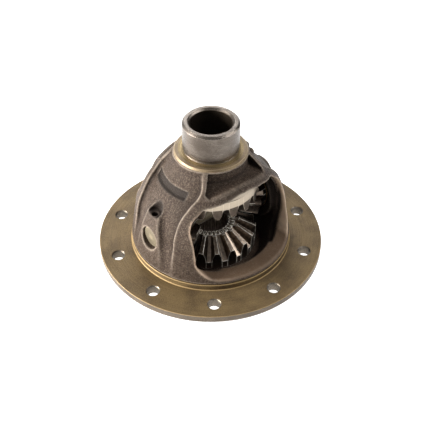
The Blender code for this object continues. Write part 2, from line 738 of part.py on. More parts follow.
def build_pinion(name, turn):
    """Make one pinion: bevel teeth, web, spherical back and plain bore."""
    pitch_angle = math.atan2(PINION_TEETH, SIDE_TEETH)
    addendum = WORKING_DEPTH - SIDE_ADDENDUM
    outline = tooth_outline(PINION_TEETH, pitch_angle, addendum, pinion_thickness(), 0.5)
    toe = TOE_DISTANCE / HEEL_DISTANCE
    middle_radius = (PINION_BACK_EDGE + PINION_BORE_RADIUS) / 2.0
    bm = bmesh.new()
    rings = [
        circle(bm, PINION_BORE_RADIUS, PINION_TOE_FACE, PIN_SEGMENTS),
        circle(bm, PINION_TOE_RADIUS, PINION_TOE_FACE, PIN_SEGMENTS),
        place_outline(bm, outline, lambda radius: toe),
        place_outline(bm, outline, lambda radius: 1.0),
        circle(bm, PINION_WEB_RADIUS, PINION_WEB, 4 * PINION_TEETH),
    ]
    for radius in (PINION_BACK_EDGE, middle_radius, PINION_BORE_RADIUS):
        height = math.sqrt(PINION_BACK_RADIUS ** 2 - radius ** 2)
        rings.append(circle(bm, radius, height, 4 * PINION_TEETH if radius > middle_radius else PIN_SEGMENTS))
    stitch_loop(bm, rings)
    return add_object(name, bm, turn)


# --- thrust washers ---------------------------------------------------------------

def build_side_washer(name, turn):
    """Make one flat washer between a side gear and its pad."""
    inner = SIDE_HUB_RADIUS + GAP
    low = SIDE_THRUST_FACE + GAP
    high = THRUST_PAD_HEIGHT - GAP
    profile = [(inner, low), (WASHER_OUTER_RADIUS, low), (WASHER_OUTER_RADIUS, high), (inner, high)]
    return lathe(name, profile, ROUND_SEGMENTS, turn)


def build_pinion_washer(name, turn):
    """Make one dished washer between a pinion's back and its spherical seat."""
    inner = PIN_RADIUS + GAP
    radii = [inner + (WASHER_EDGE_RADIUS - inner) * step / 2.0 for step in range(3)]
    near = PINION_BACK_RADIUS + GAP
    far = SEAT_SPHERE_RADIUS - GAP
    profile = [(radius, math.sqrt(near ** 2 - radius ** 2)) for radius in radii]
    profile += [(radius, math.sqrt(far ** 2 - radius ** 2)) for radius in reversed(radii)]
    return lathe(name, profile, PIN_SEGMENTS, turn)


def main():
    """Build every piece and give it its material."""
    clear_scene()
    upright = Matrix.Identity(4)
    pieces = [
        (build_case(), (0.150, 0.118, 0.095), 0.55, 0.75),
        (build_cross_pin(), (0.46, 0.42, 0.33), 0.35, 1.0),
        (build_lock_pin(), (0.20, 0.19, 0.18), 0.40, 1.0),
        (build_side_gear("side_gear_lower", UPSIDE_DOWN), (0.13, 0.12, 0.11), 0.32, 1.0),
        (build_side_gear("side_gear_upper", upright), (0.50, 0.46, 0.37), 0.38, 1.0),
        (build_side_washer("side_gear_washer_lower", UPSIDE_DOWN), (0.30, 0.28, 0.25), 0.35, 1.0),
        (build_side_washer("side_gear_washer_upper", upright), (0.30, 0.28, 0.25), 0.35, 1.0),
        (build_pinion("pinion_gear_right", ALONG_X), (0.14, 0.13, 0.12), 0.32, 1.0),
        (build_pinion("pinion_gear_left", AGAINST_X), (0.14, 0.13, 0.12), 0.32, 1.0),
        (build_pinion_washer("pinion_washer_right", ALONG_X), (0.36, 0.25, 0.12), 0.35, 1.0),
        (build_pinion_washer("pinion_washer_left", AGAINST_X), (0.36, 0.25, 0.12), 0.35, 1.0),
    ]
    for item, colour, roughness, metallic in pieces:
        item.data.materials.append(make_material("mat_" + item.name, colour, roughness, metallic))


main()
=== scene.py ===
"""Looks of the open differential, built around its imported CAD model.

Lengths in the constants are millimetres.  Heights are measured from the gear centre,
where the axle axis meets the cross-pin axis.
"""

import math

import bmesh
import bpy
import numpy as np
from mathutils import Matrix, Vector


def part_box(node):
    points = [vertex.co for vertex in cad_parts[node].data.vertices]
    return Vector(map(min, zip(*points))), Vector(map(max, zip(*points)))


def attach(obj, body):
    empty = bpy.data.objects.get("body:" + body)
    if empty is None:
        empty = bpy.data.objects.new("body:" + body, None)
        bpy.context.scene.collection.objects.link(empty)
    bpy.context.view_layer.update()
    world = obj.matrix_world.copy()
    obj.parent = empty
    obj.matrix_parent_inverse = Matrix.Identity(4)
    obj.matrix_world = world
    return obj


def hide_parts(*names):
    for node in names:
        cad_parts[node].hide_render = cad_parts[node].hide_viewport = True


MM = 0.001

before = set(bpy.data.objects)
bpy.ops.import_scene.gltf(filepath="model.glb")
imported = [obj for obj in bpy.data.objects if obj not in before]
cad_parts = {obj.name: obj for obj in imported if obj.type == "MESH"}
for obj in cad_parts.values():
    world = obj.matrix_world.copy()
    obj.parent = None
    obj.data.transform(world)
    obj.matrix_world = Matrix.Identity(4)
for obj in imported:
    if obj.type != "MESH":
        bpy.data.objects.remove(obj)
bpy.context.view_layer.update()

# --- places read from the CAD model ----------

case_low, case_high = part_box("differential_case")
pin_low, pin_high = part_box("cross_pin")
lock_low, lock_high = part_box("cross_pin_lock_pin")

CENTRE_Z = (pin_low.z + pin_high.z) / 2.0
CENTRE = Vector((0.0, 0.0, CENTRE_Z))
UPPER_END = (case_high.z - CENTRE_Z) / MM
LOWER_END = (case_low.z - CENTRE_Z) / MM
FLANGE_RADIUS = case_high.x / MM
PIN_RADIUS = (pin_high.z - pin_low.z) / 2.0 / MM
PIN_END = pin_high.x / MM
LOCK_X = (lock_low.x + lock_high.x) / 2.0 / MM
LOCK_BOTTOM = (lock_low.z - CENTRE_Z) / MM

# --- shape of the case -----------------------

# Corners are (across, height, corner radius).  Where an outline is mirrored, only its right
# half is given.  A profile is a list of (radius, height).
GAP = 0.3
ABOVE = 80.0
BELOW = -60.0
FLANGE_TOP = -31.0
FLANGE_BACK = -40.0
BOLT_COUNT = 10
BOLT_CIRCLE = 85.2
BOLT_RADIUS = 5.1
BOLT_CHAMFER = 0.8
PILOT_RADIUS = 70.2
PILOT_TOP = -25.5
GROOVE_RADIUS = 67.8
WALL_FOOT = (69.8, -24.4)
DOME_RADII = (65.3, 63.0)
DOME_CENTRE = -1.0
DOME_SPAN = (5.0, 43.0)
CONE_TOP = (31.6, 61.6)
CONE_START_RADIUS = 46.0
HUB_FOOT = (29.4, 62.2)
LOWER_CONE_RADIUS = 52.0
FLANGE_DRAFT = (2.6, 6.0)
CORE_RADII = (58.0, 25.0)
CORE_BOTTOM = -38.2
HUB_ROOT = (26.0, 60.2)
HUB_LIP = (30.7, 61.0)
GOLD_RADIUS = 27.0
UNDERCUT_HEIGHTS = (0.4, 1.4, 2.1)
HIDDEN_FOOT = ((0.0, -55.0), (28.0, -55.0), (48.0, -38.6), (65.0, -38.6), (66.5, -30.0), (66.5, WALL_FOOT[1]))
SHOULDER_RADIUS = 29.8
UPPER_SHOULDER = 63.6
LOWER_SHOULDER = -58.0
UNDERCUT_RADIUS = 22.6
JOURNAL_RADIUS = 23.3
JOURNAL_CHAMFER = 1.8
AXLE_BORE = 17.2
SEAT_SPHERE = 52.0
CAVITY_SPHERE = 58.5
CAVITY_HEIGHT = 39.0
CAVITY_INNER = 30.0
GEAR_POCKET = 40.8
GEAR_POCKET_CHAMFER = 1.5
THRUST_PAD = 40.0
HUB_BORE = 22.3
HUB_BORE_END = 20.0
HUB_DEPTH = 53.0
PINION_BOSS = 29.0
PINION_BOSS_START = 33.0
WINDOW = ((49.6, -21.0, 15.0), (48.0, 26.0, 16.0), (35.5, 38.5, 11.0), (0.0, 46.0, 60.0))
WINDOW_CORE = 42.8
WINDOW_DEPTH = 30.0
RELIEF_SPHERE = 61.0
RELIEF_RISE = (0.6, -0.42)
RELIEF_HEIGHTS = (35.0, -25.0)
RELIEF_START = (28.0, 31.0)
FACE_POCKET = ((27.0, -24.0, 4.0), (24.8, 28.0, 30.0), (27.5, 48.0, 12.0), (20.0, 61.0, 1.5))
FACE_DEPTH = 3.6
FLOOR_RUN_OUT = 0.6
FLOOR_TOP = CONE_TOP[1] - 0.7
POCKET_START = 15.0
PIN_BOSS = ((18.5, -40.0, 1.0), (16.0, -12.0, 10.0), (12.5, 5.0, 10.0), (7.0, 27.0, 6.0))
TOP_POCKET = ((30.5, 45.0, 1.5), (20.8, 61.0, 1.5))
TOP_CROWN = (0.0, 51.8, 60.0)
TOP_WALL = 30.2
TOP_FLOOR = 48.8
TOP_RIM = (52.0, 37.0)
TOP_RIM_SKIRT = 12.0
TOP_FILLET = 2.5
LABEL = (22.5, -17.5, 40.2, 45.6)
LABEL_CORNER = 0.8
LABEL_DEPTH = 1.6
NUBS = ((-14.0, 54.0), (-4.5, 54.0))
NUB_RADIUS = 3.0
CAST_SKIN = ((7.0, 3, 0.16), (3.2, 7, 0.07))
LOCK_RADIUS = 2.4
LOCK_SPOT = (6.2, 23.0)

# --- how wide the fillets and rounded edges of the casting are ---

BLEND = {
    "shell": 3.0,
    "seats": 1.5,
    "cavity": 1.2,
    "window core": 1.5,
    "window": 1.9,
    "pocket floor": 3.5,
    "pin boss": 4.5,
    "pocket": 1.7,
    "top floor": 2.6,
    "top pocket": 1.5,
    "label": 0.9,
    "nub": 2.0,
    "pin bore": 0.9,
    "lock hole": 1.0,
}

# --- zones of the casting with a colour of their own, some of it painted light and shade ---

RECESS_SHADE_REACH = 0.9
SKIRT_HALF = 0.9
SKIRT_TOP_MARGIN = 1.6
SILL_HALF = 1.2
JAMB_START = 44.0
JAMB_FADE = 0.2
ZONE_FADE = 1.2
SKIRT_DROP = 1.5
SILL_DROP = 2.0
INSIDE_FADE = 0.9

# These marks carry painted light and shade: lighter edges and ridges, darker dips and hollows.
# Rounds of smoothing, and the height in mm at which a mark is full.
CURVATURE_MARKS = {("edge", "dip"): (2, 0.13), ("ridge", "hollow"): (36, 0.75)}
RIM_FACE_AREA = 0.9 * MM * MM

# --- gears -----------------------------------

SIDE_TEETH = 18
PINION_TEETH = 10
HEEL = 44.05
TOE = 28.0
PRESSURE = math.radians(22.5)
MODULE = 2.0 * HEEL / math.hypot(SIDE_TEETH, PINION_TEETH)
SIDE_ADDENDUM = 0.544 * MODULE
WORKING_DEPTH = 1.6 * MODULE
WHOLE_DEPTH = 1.8 * MODULE
BACKLASH = 0.5
SPLINES = 30
SPLINE_WAVE = ((0.0, 15.6), (0.22, 15.6), (0.36, 16.7), (0.64, 16.7), (0.78, 15.6))
SPLINE_CHAMFER = 0.5
SIDE_RIM = 40.0
SIDE_RIM_FOOT = 29.6
SIDE_TOE_FACE = (21.2, 14.8)
SIDE_BACK = (
    (SIDE_RIM, SIDE_RIM_FOOT), (SIDE_RIM, 36.6), (38.4, 38.3), (21.8, 38.3), (21.8, 51.2), (21.0, 52.0),
)
SIDE_BORE = (14.8, 15.4, 51.4, 52.0)
PINION_TOE_FACE = (11.0, 24.6)
PINION_SHOULDER = (20.8, 42.6)
PINION_BACK_SPHERE = 50.5
PINION_BACK_RINGS = (20.3, 17.0, 13.5)
ALONG_TOOTH = (0.0, 0.33, 0.67, 1.0)
BEVEL = 0.48
MARK_MARGIN = 0.3
TOOTH_EDGE_WIDTH = 0.55
BODY_EDGE_WIDTH = 0.33
ROOT_FILLET = ((0.0, 0.55), (0.18, 0.22))
FLANK_START = 0.55
TIP_BREAK = 0.3

# --- spacing of the grid that the casting is drawn on ---

VOXEL = 0.7
GRID_EXTENT = (71.5, -56.5, 64.0)


# --- small helpers ---------------------------

def new_object(name, verts, faces, body, replaced=()):
    """Make a mesh piece from points in millimetres about the gear centre and let it ride."""
    mesh = bpy.data.meshes.new(name)
    mesh.from_pydata([tuple(v) for v in verts], [], [tuple(f) for f in faces])
    mesh.transform(Matrix.Translation(CENTRE) @ Matrix.Scale(MM, 4))
    mesh.update()
    item = bpy.data.objects.new(name, mesh)
    bpy.context.scene.collection.objects.link(item)
    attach(item, body)
    if replaced:
        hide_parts(*replaced)
    return item


def shade(item, angle=35.0):
    """Smooth the piece but keep edges sharper than the angle."""
    item.data.shade_smooth()
    item.data.set_sharp_from_angle(angle=math.radians(angle))


def apply_modifiers(item):
    """Replace the piece's mesh by the result of its modifiers."""
    graph = bpy.context.evaluated_depsgraph_get()
    mesh = bpy.data.meshes.new_from_object(item.evaluated_get(graph))
    item.modifiers.clear()
    item.data = mesh


def rounded(corners, steps=8):
    """Round each corner (u, v, radius) of a closed outline."""
    outline = []
    count = len(corners)
    for index, (u, v, radius) in enumerate(corners):
        here = Vector((u, v))
        if radius <= 0.0:
            outline.append((u, v))
            continue
        before = (Vector(corners[index - 1][:2]) - here).normalized()
        after = (Vector(corners[(index + 1) % count][:2]) - here).normalized()
        half = before.angle(after) / 2.0
        reach = radius / math.tan(half)
        middle = here + (before + after).normalized() * (radius / math.sin(half))
        start = here + before * reach - middle
        end = here + after * reach - middle
        sweep = start.angle_signed(end)
        for step in range(steps + 1):
            spoke = start.copy()
            spoke.rotate(Matrix.Rotation(-sweep * step / steps, 2))
            outline.append(tuple(middle + spoke))
    return outline


def mirrored(half):
    """Complete the right half of an outline, leaving a point on the axis single."""
    return list(half) + [(-u, v, radius) for u, v, radius in reversed(half) if u > 0.0]


def arc(centre, radii, start, end, steps):
    """Return points of an elliptic arc in the (radius, height) plane."""
    angles = [start + (end - start) * step / steps for step in range(steps + 1)]
    return [(centre[0] + radii[0] * math.cos(a), centre[1] + radii[1] * math.sin(a)) for a in angles]


def turned_mesh(profile, segments, closed=True):
    """Return the points and faces of a profile turned about Z."""
    angles = np.linspace(0.0, 2.0 * math.pi, segments, endpoint=False)
    verts = []
    for radius, height in profile:
        verts += [(radius * math.cos(a), radius * math.sin(a), height) for a in angles]
    faces = []
    rows = len(profile)
    for row in range(rows if closed else rows - 1):
        low = row * segments
        high = ((row + 1) % rows) * segments
        for step in range(segments):
            after = (step + 1) % segments
            faces.append((low + step, low + after, high + after, high + step))
    return verts, faces


# --- distance fields -------------------------

def smooth_max(a, b, k):
    """Intersect two fields with a rounding about k wide."""
    h = np.maximum(k - np.abs(a - b), 0.0) / k
    return np.maximum(a, b) + h * h * (k * 0.25)


def smooth_min(a, b, k):
    """Join two fields with a fillet about k wide."""
    return -smooth_max(-a, -b, k)


def outline_field(u, v, corners):
    """Return the signed distance of points to a closed outline, negative inside."""
    best = np.full(u.shape, 1e9, np.float32)
    inside = np.zeros(u.shape, bool)
    for (u0, v0), (u1, v1) in zip(corners, corners[1:] + corners[:1]):
        eu = u1 - u0
        ev = v1 - v0
        length = eu * eu + ev * ev
        if length < 1e-9:
            continue
        t = np.clip(((u - u0) * eu + (v - v0) * ev) / length, 0.0, 1.0)
        best = np.minimum(best, (u - u0 - eu * t) ** 2 + (v - v0 - ev * t) ** 2)
        if abs(ev) > 1e-9:
            crosses = (v0 > v) != (v1 > v)
            inside ^= crosses & (u < u0 + (v - v0) * eu / ev)
    distance = np.sqrt(best)
    return np.where(inside, -distance, distance).astype(np.float32)


class Grid:
    """A regular grid about the gear centre with the fields that are drawn on it."""

    def __init__(self, reach, bottom, top, step):
        self.step = step
        self.x = np.arange(-reach, reach + step, step, dtype=np.float32)
        self.y = self.x.copy()
        self.z = np.arange(bottom, top + step, step, dtype=np.float32)
        self.origin = np.array([self.x[0], self.y[0], self.z[0]])
        self.radius = np.sqrt(self.x[:, None] ** 2 + self.y[None, :] ** 2)

    def turned(self, profile):
        """Return the field of a closed profile turned about Z."""
        fine = 0.25
        radii = np.arange(0.0, self.radius.max() + 2.0, fine, dtype=np.float32)
        u, v = np.meshgrid(radii, self.z, indexing="ij")
        flat = outline_field(u, v, profile)
        place = self.radius / fine
        low = place.astype(int)
        share = (place - low)[:, :, None]
        return flat[low] * (1.0 - share) + flat[low + 1] * share

    def prism_x(self, corners):
        """Return the field of an outline (y, z) that runs along X."""
        u, v = np.meshgrid(self.y, self.z, indexing="ij")
        return outline_field(u, v, corners)[None, :, :]

    def prism_y(self, corners):
        """Return the field of an outline (x, z) that runs along Y."""
        u, v = np.meshgrid(self.x, self.z, indexing="ij")
        return outline_field(u, v, corners)[:, None, :]

    def rough(self, size, seed):
        """Return a smooth random field with bumps about size wide, from -1 to 1."""
        rng = np.random.default_rng(seed)
        counts = [int((axis[-1] - axis[0]) / size) + 3 for axis in (self.x, self.y, self.z)]
        values = rng.uniform(-1.0, 1.0, counts).astype(np.float32)
        for index, axis in enumerate((self.x, self.y, self.z)):
            place = (axis - axis[0]) / size
            low = place.astype(int)
            share = place - low
            share = share * share * (3.0 - 2.0 * share)
            shape = [1, 1, 1]
            shape[index] = len(axis)
            share = share.reshape(shape).astype(np.float32)
            values = np.take(values, low, index) * (1.0 - share) + np.take(values, low + 1, index) * share
        return values

    def surface(self, field):
        """Return the points and quads of the zero surface, facing out."""
        corners = [(i, j, k) for i in (0, 1) for j in (0, 1) for k in (0, 1)]
        shape = tuple(n - 1 for n in field.shape)
        inside = field < 0.0
        count = np.zeros(shape, np.int8)
        for i, j, k in corners:
            count += inside[i:i + shape[0], j:j + shape[1], k:k + shape[2]]
        active = (count > 0) & (count < 8)
        cells = np.argwhere(active)
        ids = np.full(shape, -1, np.int64)
        ids[active] = np.arange(len(cells))
        values = [field[cells[:, 0] + i, cells[:, 1] + j, cells[:, 2] + k] for i, j, k in corners]
        total = np.zeros((len(cells), 3))
        hits = np.zeros(len(cells))
        for a in range(8):
            for b in range(a + 1, 8):
                if sum(abs(p - q) for p, q in zip(corners[a], corners[b])) != 1:
                    continue
                crossing = (values[a] < 0.0) != (values[b] < 0.0)
                gap = np.where(crossing, values[a] - values[b], 1.0)
                t = (values[a] / gap)[:, None]
                point = np.array(corners[a]) + t * (np.array(corners[b]) - np.array(corners[a]))
                total[crossing] += point[crossing]
                hits[crossing] += 1
        points = self.origin + self.step * (cells + total / hits[:, None])
        quads = []
        for axis in range(3):
            first = inside
            low = np.take(first, range(field.shape[axis] - 1), axis)
            high = np.take(first, range(1, field.shape[axis]), axis)
            where = np.argwhere(low != high)
            b = (axis + 1) % 3
            c = (axis + 2) % 3
            keep = (where[:, b] > 0) & (where[:, c] > 0)
            keep &= (where[:, b] < shape[b]) & (where[:, c] < shape[c])
            where = where[keep]
            ring = []
            for db, dc in ((-1, -1), (0, -1), (0, 0), (-1, 0)):
                cell = where.copy()
                cell[:, b] += db
                cell[:, c] += dc
                ring.append(ids[cell[:, 0], cell[:, 1], cell[:, 2]])
            quad = np.stack(ring, 1)
            outward = low[where[:, 0], where[:, 1], where[:, 2]]
            quad[~outward] = quad[~outward][:, ::-1]
            quads.append(quad)
        return points, np.concatenate(quads)


def dome(inset):
    """Return the cast outer surface, moved inward by inset, from wall foot to hub."""
    span = [math.asin((height - DOME_CENTRE) / DOME_RADII[1]) for height in DOME_SPAN]
    curve = arc((0.0, DOME_CENTRE), (DOME_RADII[0] - inset, DOME_RADII[1] - inset), span[0], span[1], 20)
    return [(WALL_FOOT[0] - inset, WALL_FOOT[1])] + curve + [(CONE_TOP[0] - inset, CONE_TOP[1])]


def pocket_floor(depth):
    """Return the turned core below a pin-face pocket, which meets the hub wall on top."""
    floor = [(WALL_FOOT[0] + FLOOR_RUN_OUT, WALL_FOOT[1])] + dome(depth)[1:-1]
    tall = [(TOP_WALL, FLOOR_TOP), (TOP_WALL, ABOVE), (0.0, ABOVE), (0.0, BELOW)]
    return [(floor[0][0], BELOW)] + floor + tall


def cavity_field(grid, about_pin):
    """Return the field of the hollow: turned gear seats joined to the rough cast inside."""
    x = np.abs(grid.x)[:, None, None]
    y = np.abs(grid.y)[None, :, None]
    rise = math.acos(GEAR_POCKET / SEAT_SPHERE)
    seats = arc((0.0, 0.0), (SEAT_SPHERE,) * 2, rise, -rise, 24)
    upper = [(0.0, ABOVE), (HUB_BORE_END, ABOVE), (HUB_BORE_END, HUB_DEPTH), (HUB_BORE, HUB_DEPTH)]
    upper += [(HUB_BORE, THRUST_PAD), (GEAR_POCKET - GEAR_POCKET_CHAMFER, THRUST_PAD)]
    upper.append((GEAR_POCKET, THRUST_PAD - GEAR_POCKET_CHAMFER))
    lower = [(radius, -height) for radius, height in reversed(upper)]
    cavity = grid.turned(upper + seats + lower)
    rise = math.asin(CAVITY_HEIGHT / CAVITY_SPHERE)
    shell = arc((0.0, 0.0), (CAVITY_SPHERE,) * 2, rise, -rise, 24)
    rough = grid.turned([(CAVITY_INNER, CAVITY_HEIGHT)] + shell + [(CAVITY_INNER, -CAVITY_HEIGHT)])
    relief = arc((0.0, 0.0), (RELIEF_SPHERE,) * 2, *RELIEF_RISE, 24)
    near = grid.turned([(0.0, RELIEF_HEIGHTS[0])] + relief + [(0.0, RELIEF_HEIGHTS[1])])
    near = smooth_max(near, np.maximum(RELIEF_START[1] - y, RELIEF_START[0] - x), BLEND["shell"])
    rough = smooth_min(rough, near, BLEND["shell"])
    boss = np.maximum(about_pin - PINION_BOSS, PINION_BOSS_START - x)
    return smooth_min(cavity, smooth_max(rough, -boss, BLEND["shell"]), BLEND["seats"])


def add_nubs(grid, body):
    """Join the small cast nubs to the field of the case."""
    side_x = grid.x[:, None, None]
    slope = (CONE_TOP[0] - CONE_START_RADIUS) / (CONE_TOP[1] - DOME_SPAN[1])
    for place, height in NUBS:
        ring = CONE_START_RADIUS + (height - DOME_SPAN[1]) * slope - FACE_DEPTH
        away = (side_x - math.sqrt(ring * ring - place * place)) ** 2
        away = away + (grid.y[None, :, None] - place) ** 2 + (grid.z[None, None, :] - height) ** 2
        body = smooth_min(body, np.sqrt(away) - NUB_RADIUS, BLEND["nub"])
    return body


def case_field(grid):
    """Return the field of the cast case, which reaches into the turned pieces around it.

    The zones that come with it are fields too, of the parts painted apart: painted light on the jamb and
    skirt, painted shade inside and in the recesses, and the sill.
    """
    x = np.abs(grid.x)[:, None, None]
    side_x = grid.x[:, None, None]
    y = np.abs(grid.y)[None, :, None]
    height = grid.z[None, None, :]
    radius = grid.radius[:, :, None]
    about_pin = np.sqrt(grid.y[:, None] ** 2 + grid.z[None, :] ** 2)[None, :, :]
    outer = grid.turned(list(HIDDEN_FOOT) + dome(0.0) + [HUB_FOOT, (0.0, HUB_FOOT[1])])
    cavity = cavity_field(grid, about_pin)
    body = smooth_max(outer, -cavity, BLEND["cavity"])

    window = smooth_max(grid.prism_y(rounded(mirrored(WINDOW))), WINDOW_CORE - radius, BLEND["window core"])
    body = smooth_max(body, -np.maximum(window, WINDOW_DEPTH - y), BLEND["window"])

    floor = grid.turned(pocket_floor(FACE_DEPTH))
    pocket = smooth_max(grid.prism_x(rounded(mirrored(FACE_POCKET))), -floor, BLEND["pocket floor"])
    pocket = np.maximum(pocket, POCKET_START - x)
    pocket = smooth_max(pocket, -grid.prism_x(rounded(mirrored(PIN_BOSS))), BLEND["pin boss"])
    body = smooth_max(body, -pocket, BLEND["pocket"])

    crown = rounded(mirrored(TOP_POCKET) + [TOP_CROWN])
    skirt_edge = TOP_RIM[0] + TOP_RIM_SKIRT
    floor = [(0.0, BELOW), (skirt_edge, BELOW), (skirt_edge, TOP_RIM[1] - TOP_RIM_SKIRT), TOP_RIM]
    floor += [(TOP_WALL + TOP_FILLET, TOP_FLOOR), (TOP_WALL, TOP_FLOOR + TOP_FILLET)]
    floor += [(TOP_WALL, ABOVE), (0.0, ABOVE)]
    top = smooth_max(grid.prism_y(crown), -grid.turned(floor), BLEND["top floor"])
    body = smooth_max(body, -np.maximum(top, POCKET_START - y), BLEND["top pocket"])

    right, left, low, high = LABEL
    corners = [(u, v, LABEL_CORNER) for u, v in ((right, low), (right, high), (left, high), (left, low))]
    plate = grid.prism_x(rounded(corners))
    label = smooth_max(plate, -grid.turned(pocket_floor(FACE_DEPTH + LABEL_DEPTH)), BLEND["label"])
    label = np.maximum(label, side_x + POCKET_START)
    body = add_nubs(grid, smooth_max(body, -label, BLEND["label"]))

    for size, seed, rise in CAST_SKIN:
        body = body + grid.rough(size, seed) * rise
    body = smooth_max(body, PIN_RADIUS + GAP - about_pin, BLEND["pin bore"])
    about_lock = np.sqrt((side_x - LOCK_X) ** 2 + y ** 2)
    drill = np.maximum(about_lock - LOCK_RADIUS - GAP, LOCK_BOTTOM - GAP - height)
    spot = smooth_max(about_lock - LOCK_SPOT[0], LOCK_SPOT[1] - height, BLEND["lock hole"])
    body = smooth_max(body, -np.minimum(drill, spot), BLEND["lock hole"]).astype(np.float32)

    # The skirt of the window core by the gear: a machined tone, brightened further as painted light.
    skirt = np.maximum(WINDOW_CORE - SKIRT_HALF - radius, radius - WINDOW_CORE - SKIRT_HALF)
    skirt = np.maximum(skirt, np.maximum(THRUST_PAD - SKIRT_DROP - height, outer + SKIRT_TOP_MARGIN))
    skirt = np.maximum(skirt, np.maximum(SKIRT_TOP_MARGIN - top, WINDOW_DEPTH - y))
    # The label recess and the lock hole with its spot face, painted dark as shade.
    recess_shade = np.minimum(label, np.minimum(spot, drill)) - RECESS_SHADE_REACH
    sill = np.maximum(WINDOW_DEPTH - y, height - THRUST_PAD + SILL_DROP)
    sill = np.maximum(np.abs(window) - SILL_HALF, sill)
    # The window jamb, which is painted pale as if lit.
    jamb = np.maximum(sill, (JAMB_START - x) * JAMB_FADE)
    return body, {"inside": cavity, "skirt": skirt, "stain_and_recess_shade": recess_shade, "sill": sill, "jamb": jamb}


def edge_sharpness(points, edges, rounds):
    """Return how far each point stands out from its smoothed surroundings."""
    count = len(points)
    a = edges[:, 0]
    b = edges[:, 1]
    degree = np.bincount(a, minlength=count) + np.bincount(b, minlength=count)
    degree = np.maximum(degree, 1)[:, None]
    smooth = points.copy()
    for _ in range(rounds):
        total = np.zeros_like(smooth)
        for axis in range(3):
            total[:, axis] = np.bincount(a, smooth[b, axis], count) + np.bincount(b, smooth[a, axis], count)
        smooth = 0.5 * smooth + 0.5 * total / degree
    return points - smooth


def mark_edges(item, rounds, full, names):
    """Store on each vertex how convex and how hollow its surroundings are, under two names."""
    mesh = item.data
    points = np.zeros(len(mesh.vertices) * 3)
    mesh.vertices.foreach_get("co", points)
    normals = np.zeros(len(mesh.vertices) * 3)
    mesh.vertices.foreach_get("normal", normals)
    edges = np.zeros(len(mesh.edges) * 2, np.int32)
    mesh.edges.foreach_get("vertices", edges)
    points = points.reshape(-1, 3) / MM
    offset = edge_sharpness(points, edges.reshape(-1, 2), rounds)
    rise = (offset * normals.reshape(-1, 3)).sum(1) / full
    for name, values in zip(names, (rise, -rise)):
        layer = mesh.attributes.new(name, "FLOAT", "POINT")
        layer.data.foreach_set("value", np.clip(values, 0.0, 1.0).astype(np.float32))


# --- materials -------------------------------

class Shader:
    """A Principled material and short ways to add its nodes."""

    def __init__(self, name, metallic, roughness, specular=0.5):
        self.material = bpy.data.materials.new(name)
        self.material.use_nodes = True
        self.tree = self.material.node_tree
        self.bsdf = self.tree.nodes["Principled BSDF"]
        self.bsdf.inputs["Metallic"].default_value = metallic
        self.bsdf.inputs["Roughness"].default_value = roughness
        self.bsdf.inputs["Specular IOR Level"].default_value = specular
        self.place = self.node("ShaderNodeTexCoord").outputs["Object"]

    def node(self, kind, **settings):
        """Add a node and set its properties."""
        made = self.tree.nodes.new(kind)
        for key, value in settings.items():
            setattr(made, key, value)
        return made

    def feed(self, socket, value):
        """Link a socket or set its value."""
        if hasattr(value, "links"):
            self.tree.links.new(value, socket)
        elif isinstance(value, tuple) and len(value) == 3 and socket.type == "RGBA":
            socket.default_value = (*value, 1.0)
        else:
            socket.default_value = value

    def math(self, operation, a, b=0.0, clamp=False):
        """Return the result of a Math node."""
        made = self.node("ShaderNodeMath", operation=operation, use_clamp=clamp)
        self.feed(made.inputs[0], a)
        self.feed(made.inputs[1], b)
        return made.outputs[0]

    def noise(self, scale, detail=3.0, rough=0.55, place=None):
        """Return a noise value from 0 to 1 in object space."""
        made = self.node("ShaderNodeTexNoise")
        self.feed(made.inputs["Vector"], place or self.place)
        made.inputs["Scale"].default_value = scale
        made.inputs["Detail"].default_value = detail
        made.inputs["Roughness"].default_value = rough
        return made.outputs["Fac"]

    def ramp(self, value, *stops):
        """Return a colour from a ramp of (position, colour) stops."""
        made = self.node("ShaderNodeValToRGB")
        self.feed(made.inputs["Fac"], value)
        elements = made.color_ramp.elements
        while len(elements) < len(stops):
            elements.new(0.5)
        for element, (position, colour) in zip(elements, stops):
            element.position = position
            element.color = (*colour, 1.0)
        return made.outputs["Color"]

    def span(self, value, low, high, to_low=0.0, to_high=1.0):
        """Map a value from one range to another and clamp it."""
        made = self.node("ShaderNodeMapRange")
        self.feed(made.inputs["Value"], value)
        for socket, number in zip(("From Min", "From Max", "To Min", "To Max"), (low, high, to_low, to_high)):
            made.inputs[socket].default_value = number
        return made.outputs["Result"]

    def mix(self, share, a, b, blend="MIX"):
        """Mix two colours."""
        made = self.node("ShaderNodeMix", data_type="RGBA", blend_type=blend)
        self.feed(made.inputs["Factor"], share)
        self.feed(made.inputs[6], a)
        self.feed(made.inputs[7], b)
        return made.outputs[2]

    def attribute(self, name):
        """Return a value stored on the mesh."""
        return self.node("ShaderNodeAttribute", attribute_name=name).outputs["Fac"]

    def bump(self, height, distance, strength=1.0, below=None):
        """Return a normal bent by a height, on top of an earlier bump."""
        made = self.node("ShaderNodeBump")
        made.inputs["Strength"].default_value = strength
        made.inputs["Distance"].default_value = distance
        self.feed(made.inputs["Height"], height)
        if below is not None:
            self.feed(made.inputs["Normal"], below)
        return made.outputs["Normal"]

    def polar(self, around, across, along):
        """Return coordinates (turn, radius, height) about Z, each with its own scale."""
        parts = self.node("ShaderNodeSeparateXYZ")
        self.feed(parts.inputs[0], self.place)
        x, y, z = parts.outputs
        radius = self.math("SQRT", self.math("ADD", self.math("MULTIPLY", x, x), self.math("MULTIPLY", y, y)))
        turn = self.math("ARCTAN2", y, x)
        joined = self.node("ShaderNodeCombineXYZ")
        self.feed(joined.inputs[0], self.math("MULTIPLY", turn, around))
        self.feed(joined.inputs[1], self.math("MULTIPLY", radius, across))
        self.feed(joined.inputs[2], self.math("MULTIPLY", z, along))
        return joined.outputs[0]

    def finish(self, colour=None, roughness=None, normal=None):
        """Connect the shader's main inputs and return the material."""
        for name, value in (("Base Color", colour), ("Roughness", roughness), ("Normal", normal)):
            if value is not None:
                self.feed(self.bsdf.inputs[name], value)
        return self.material


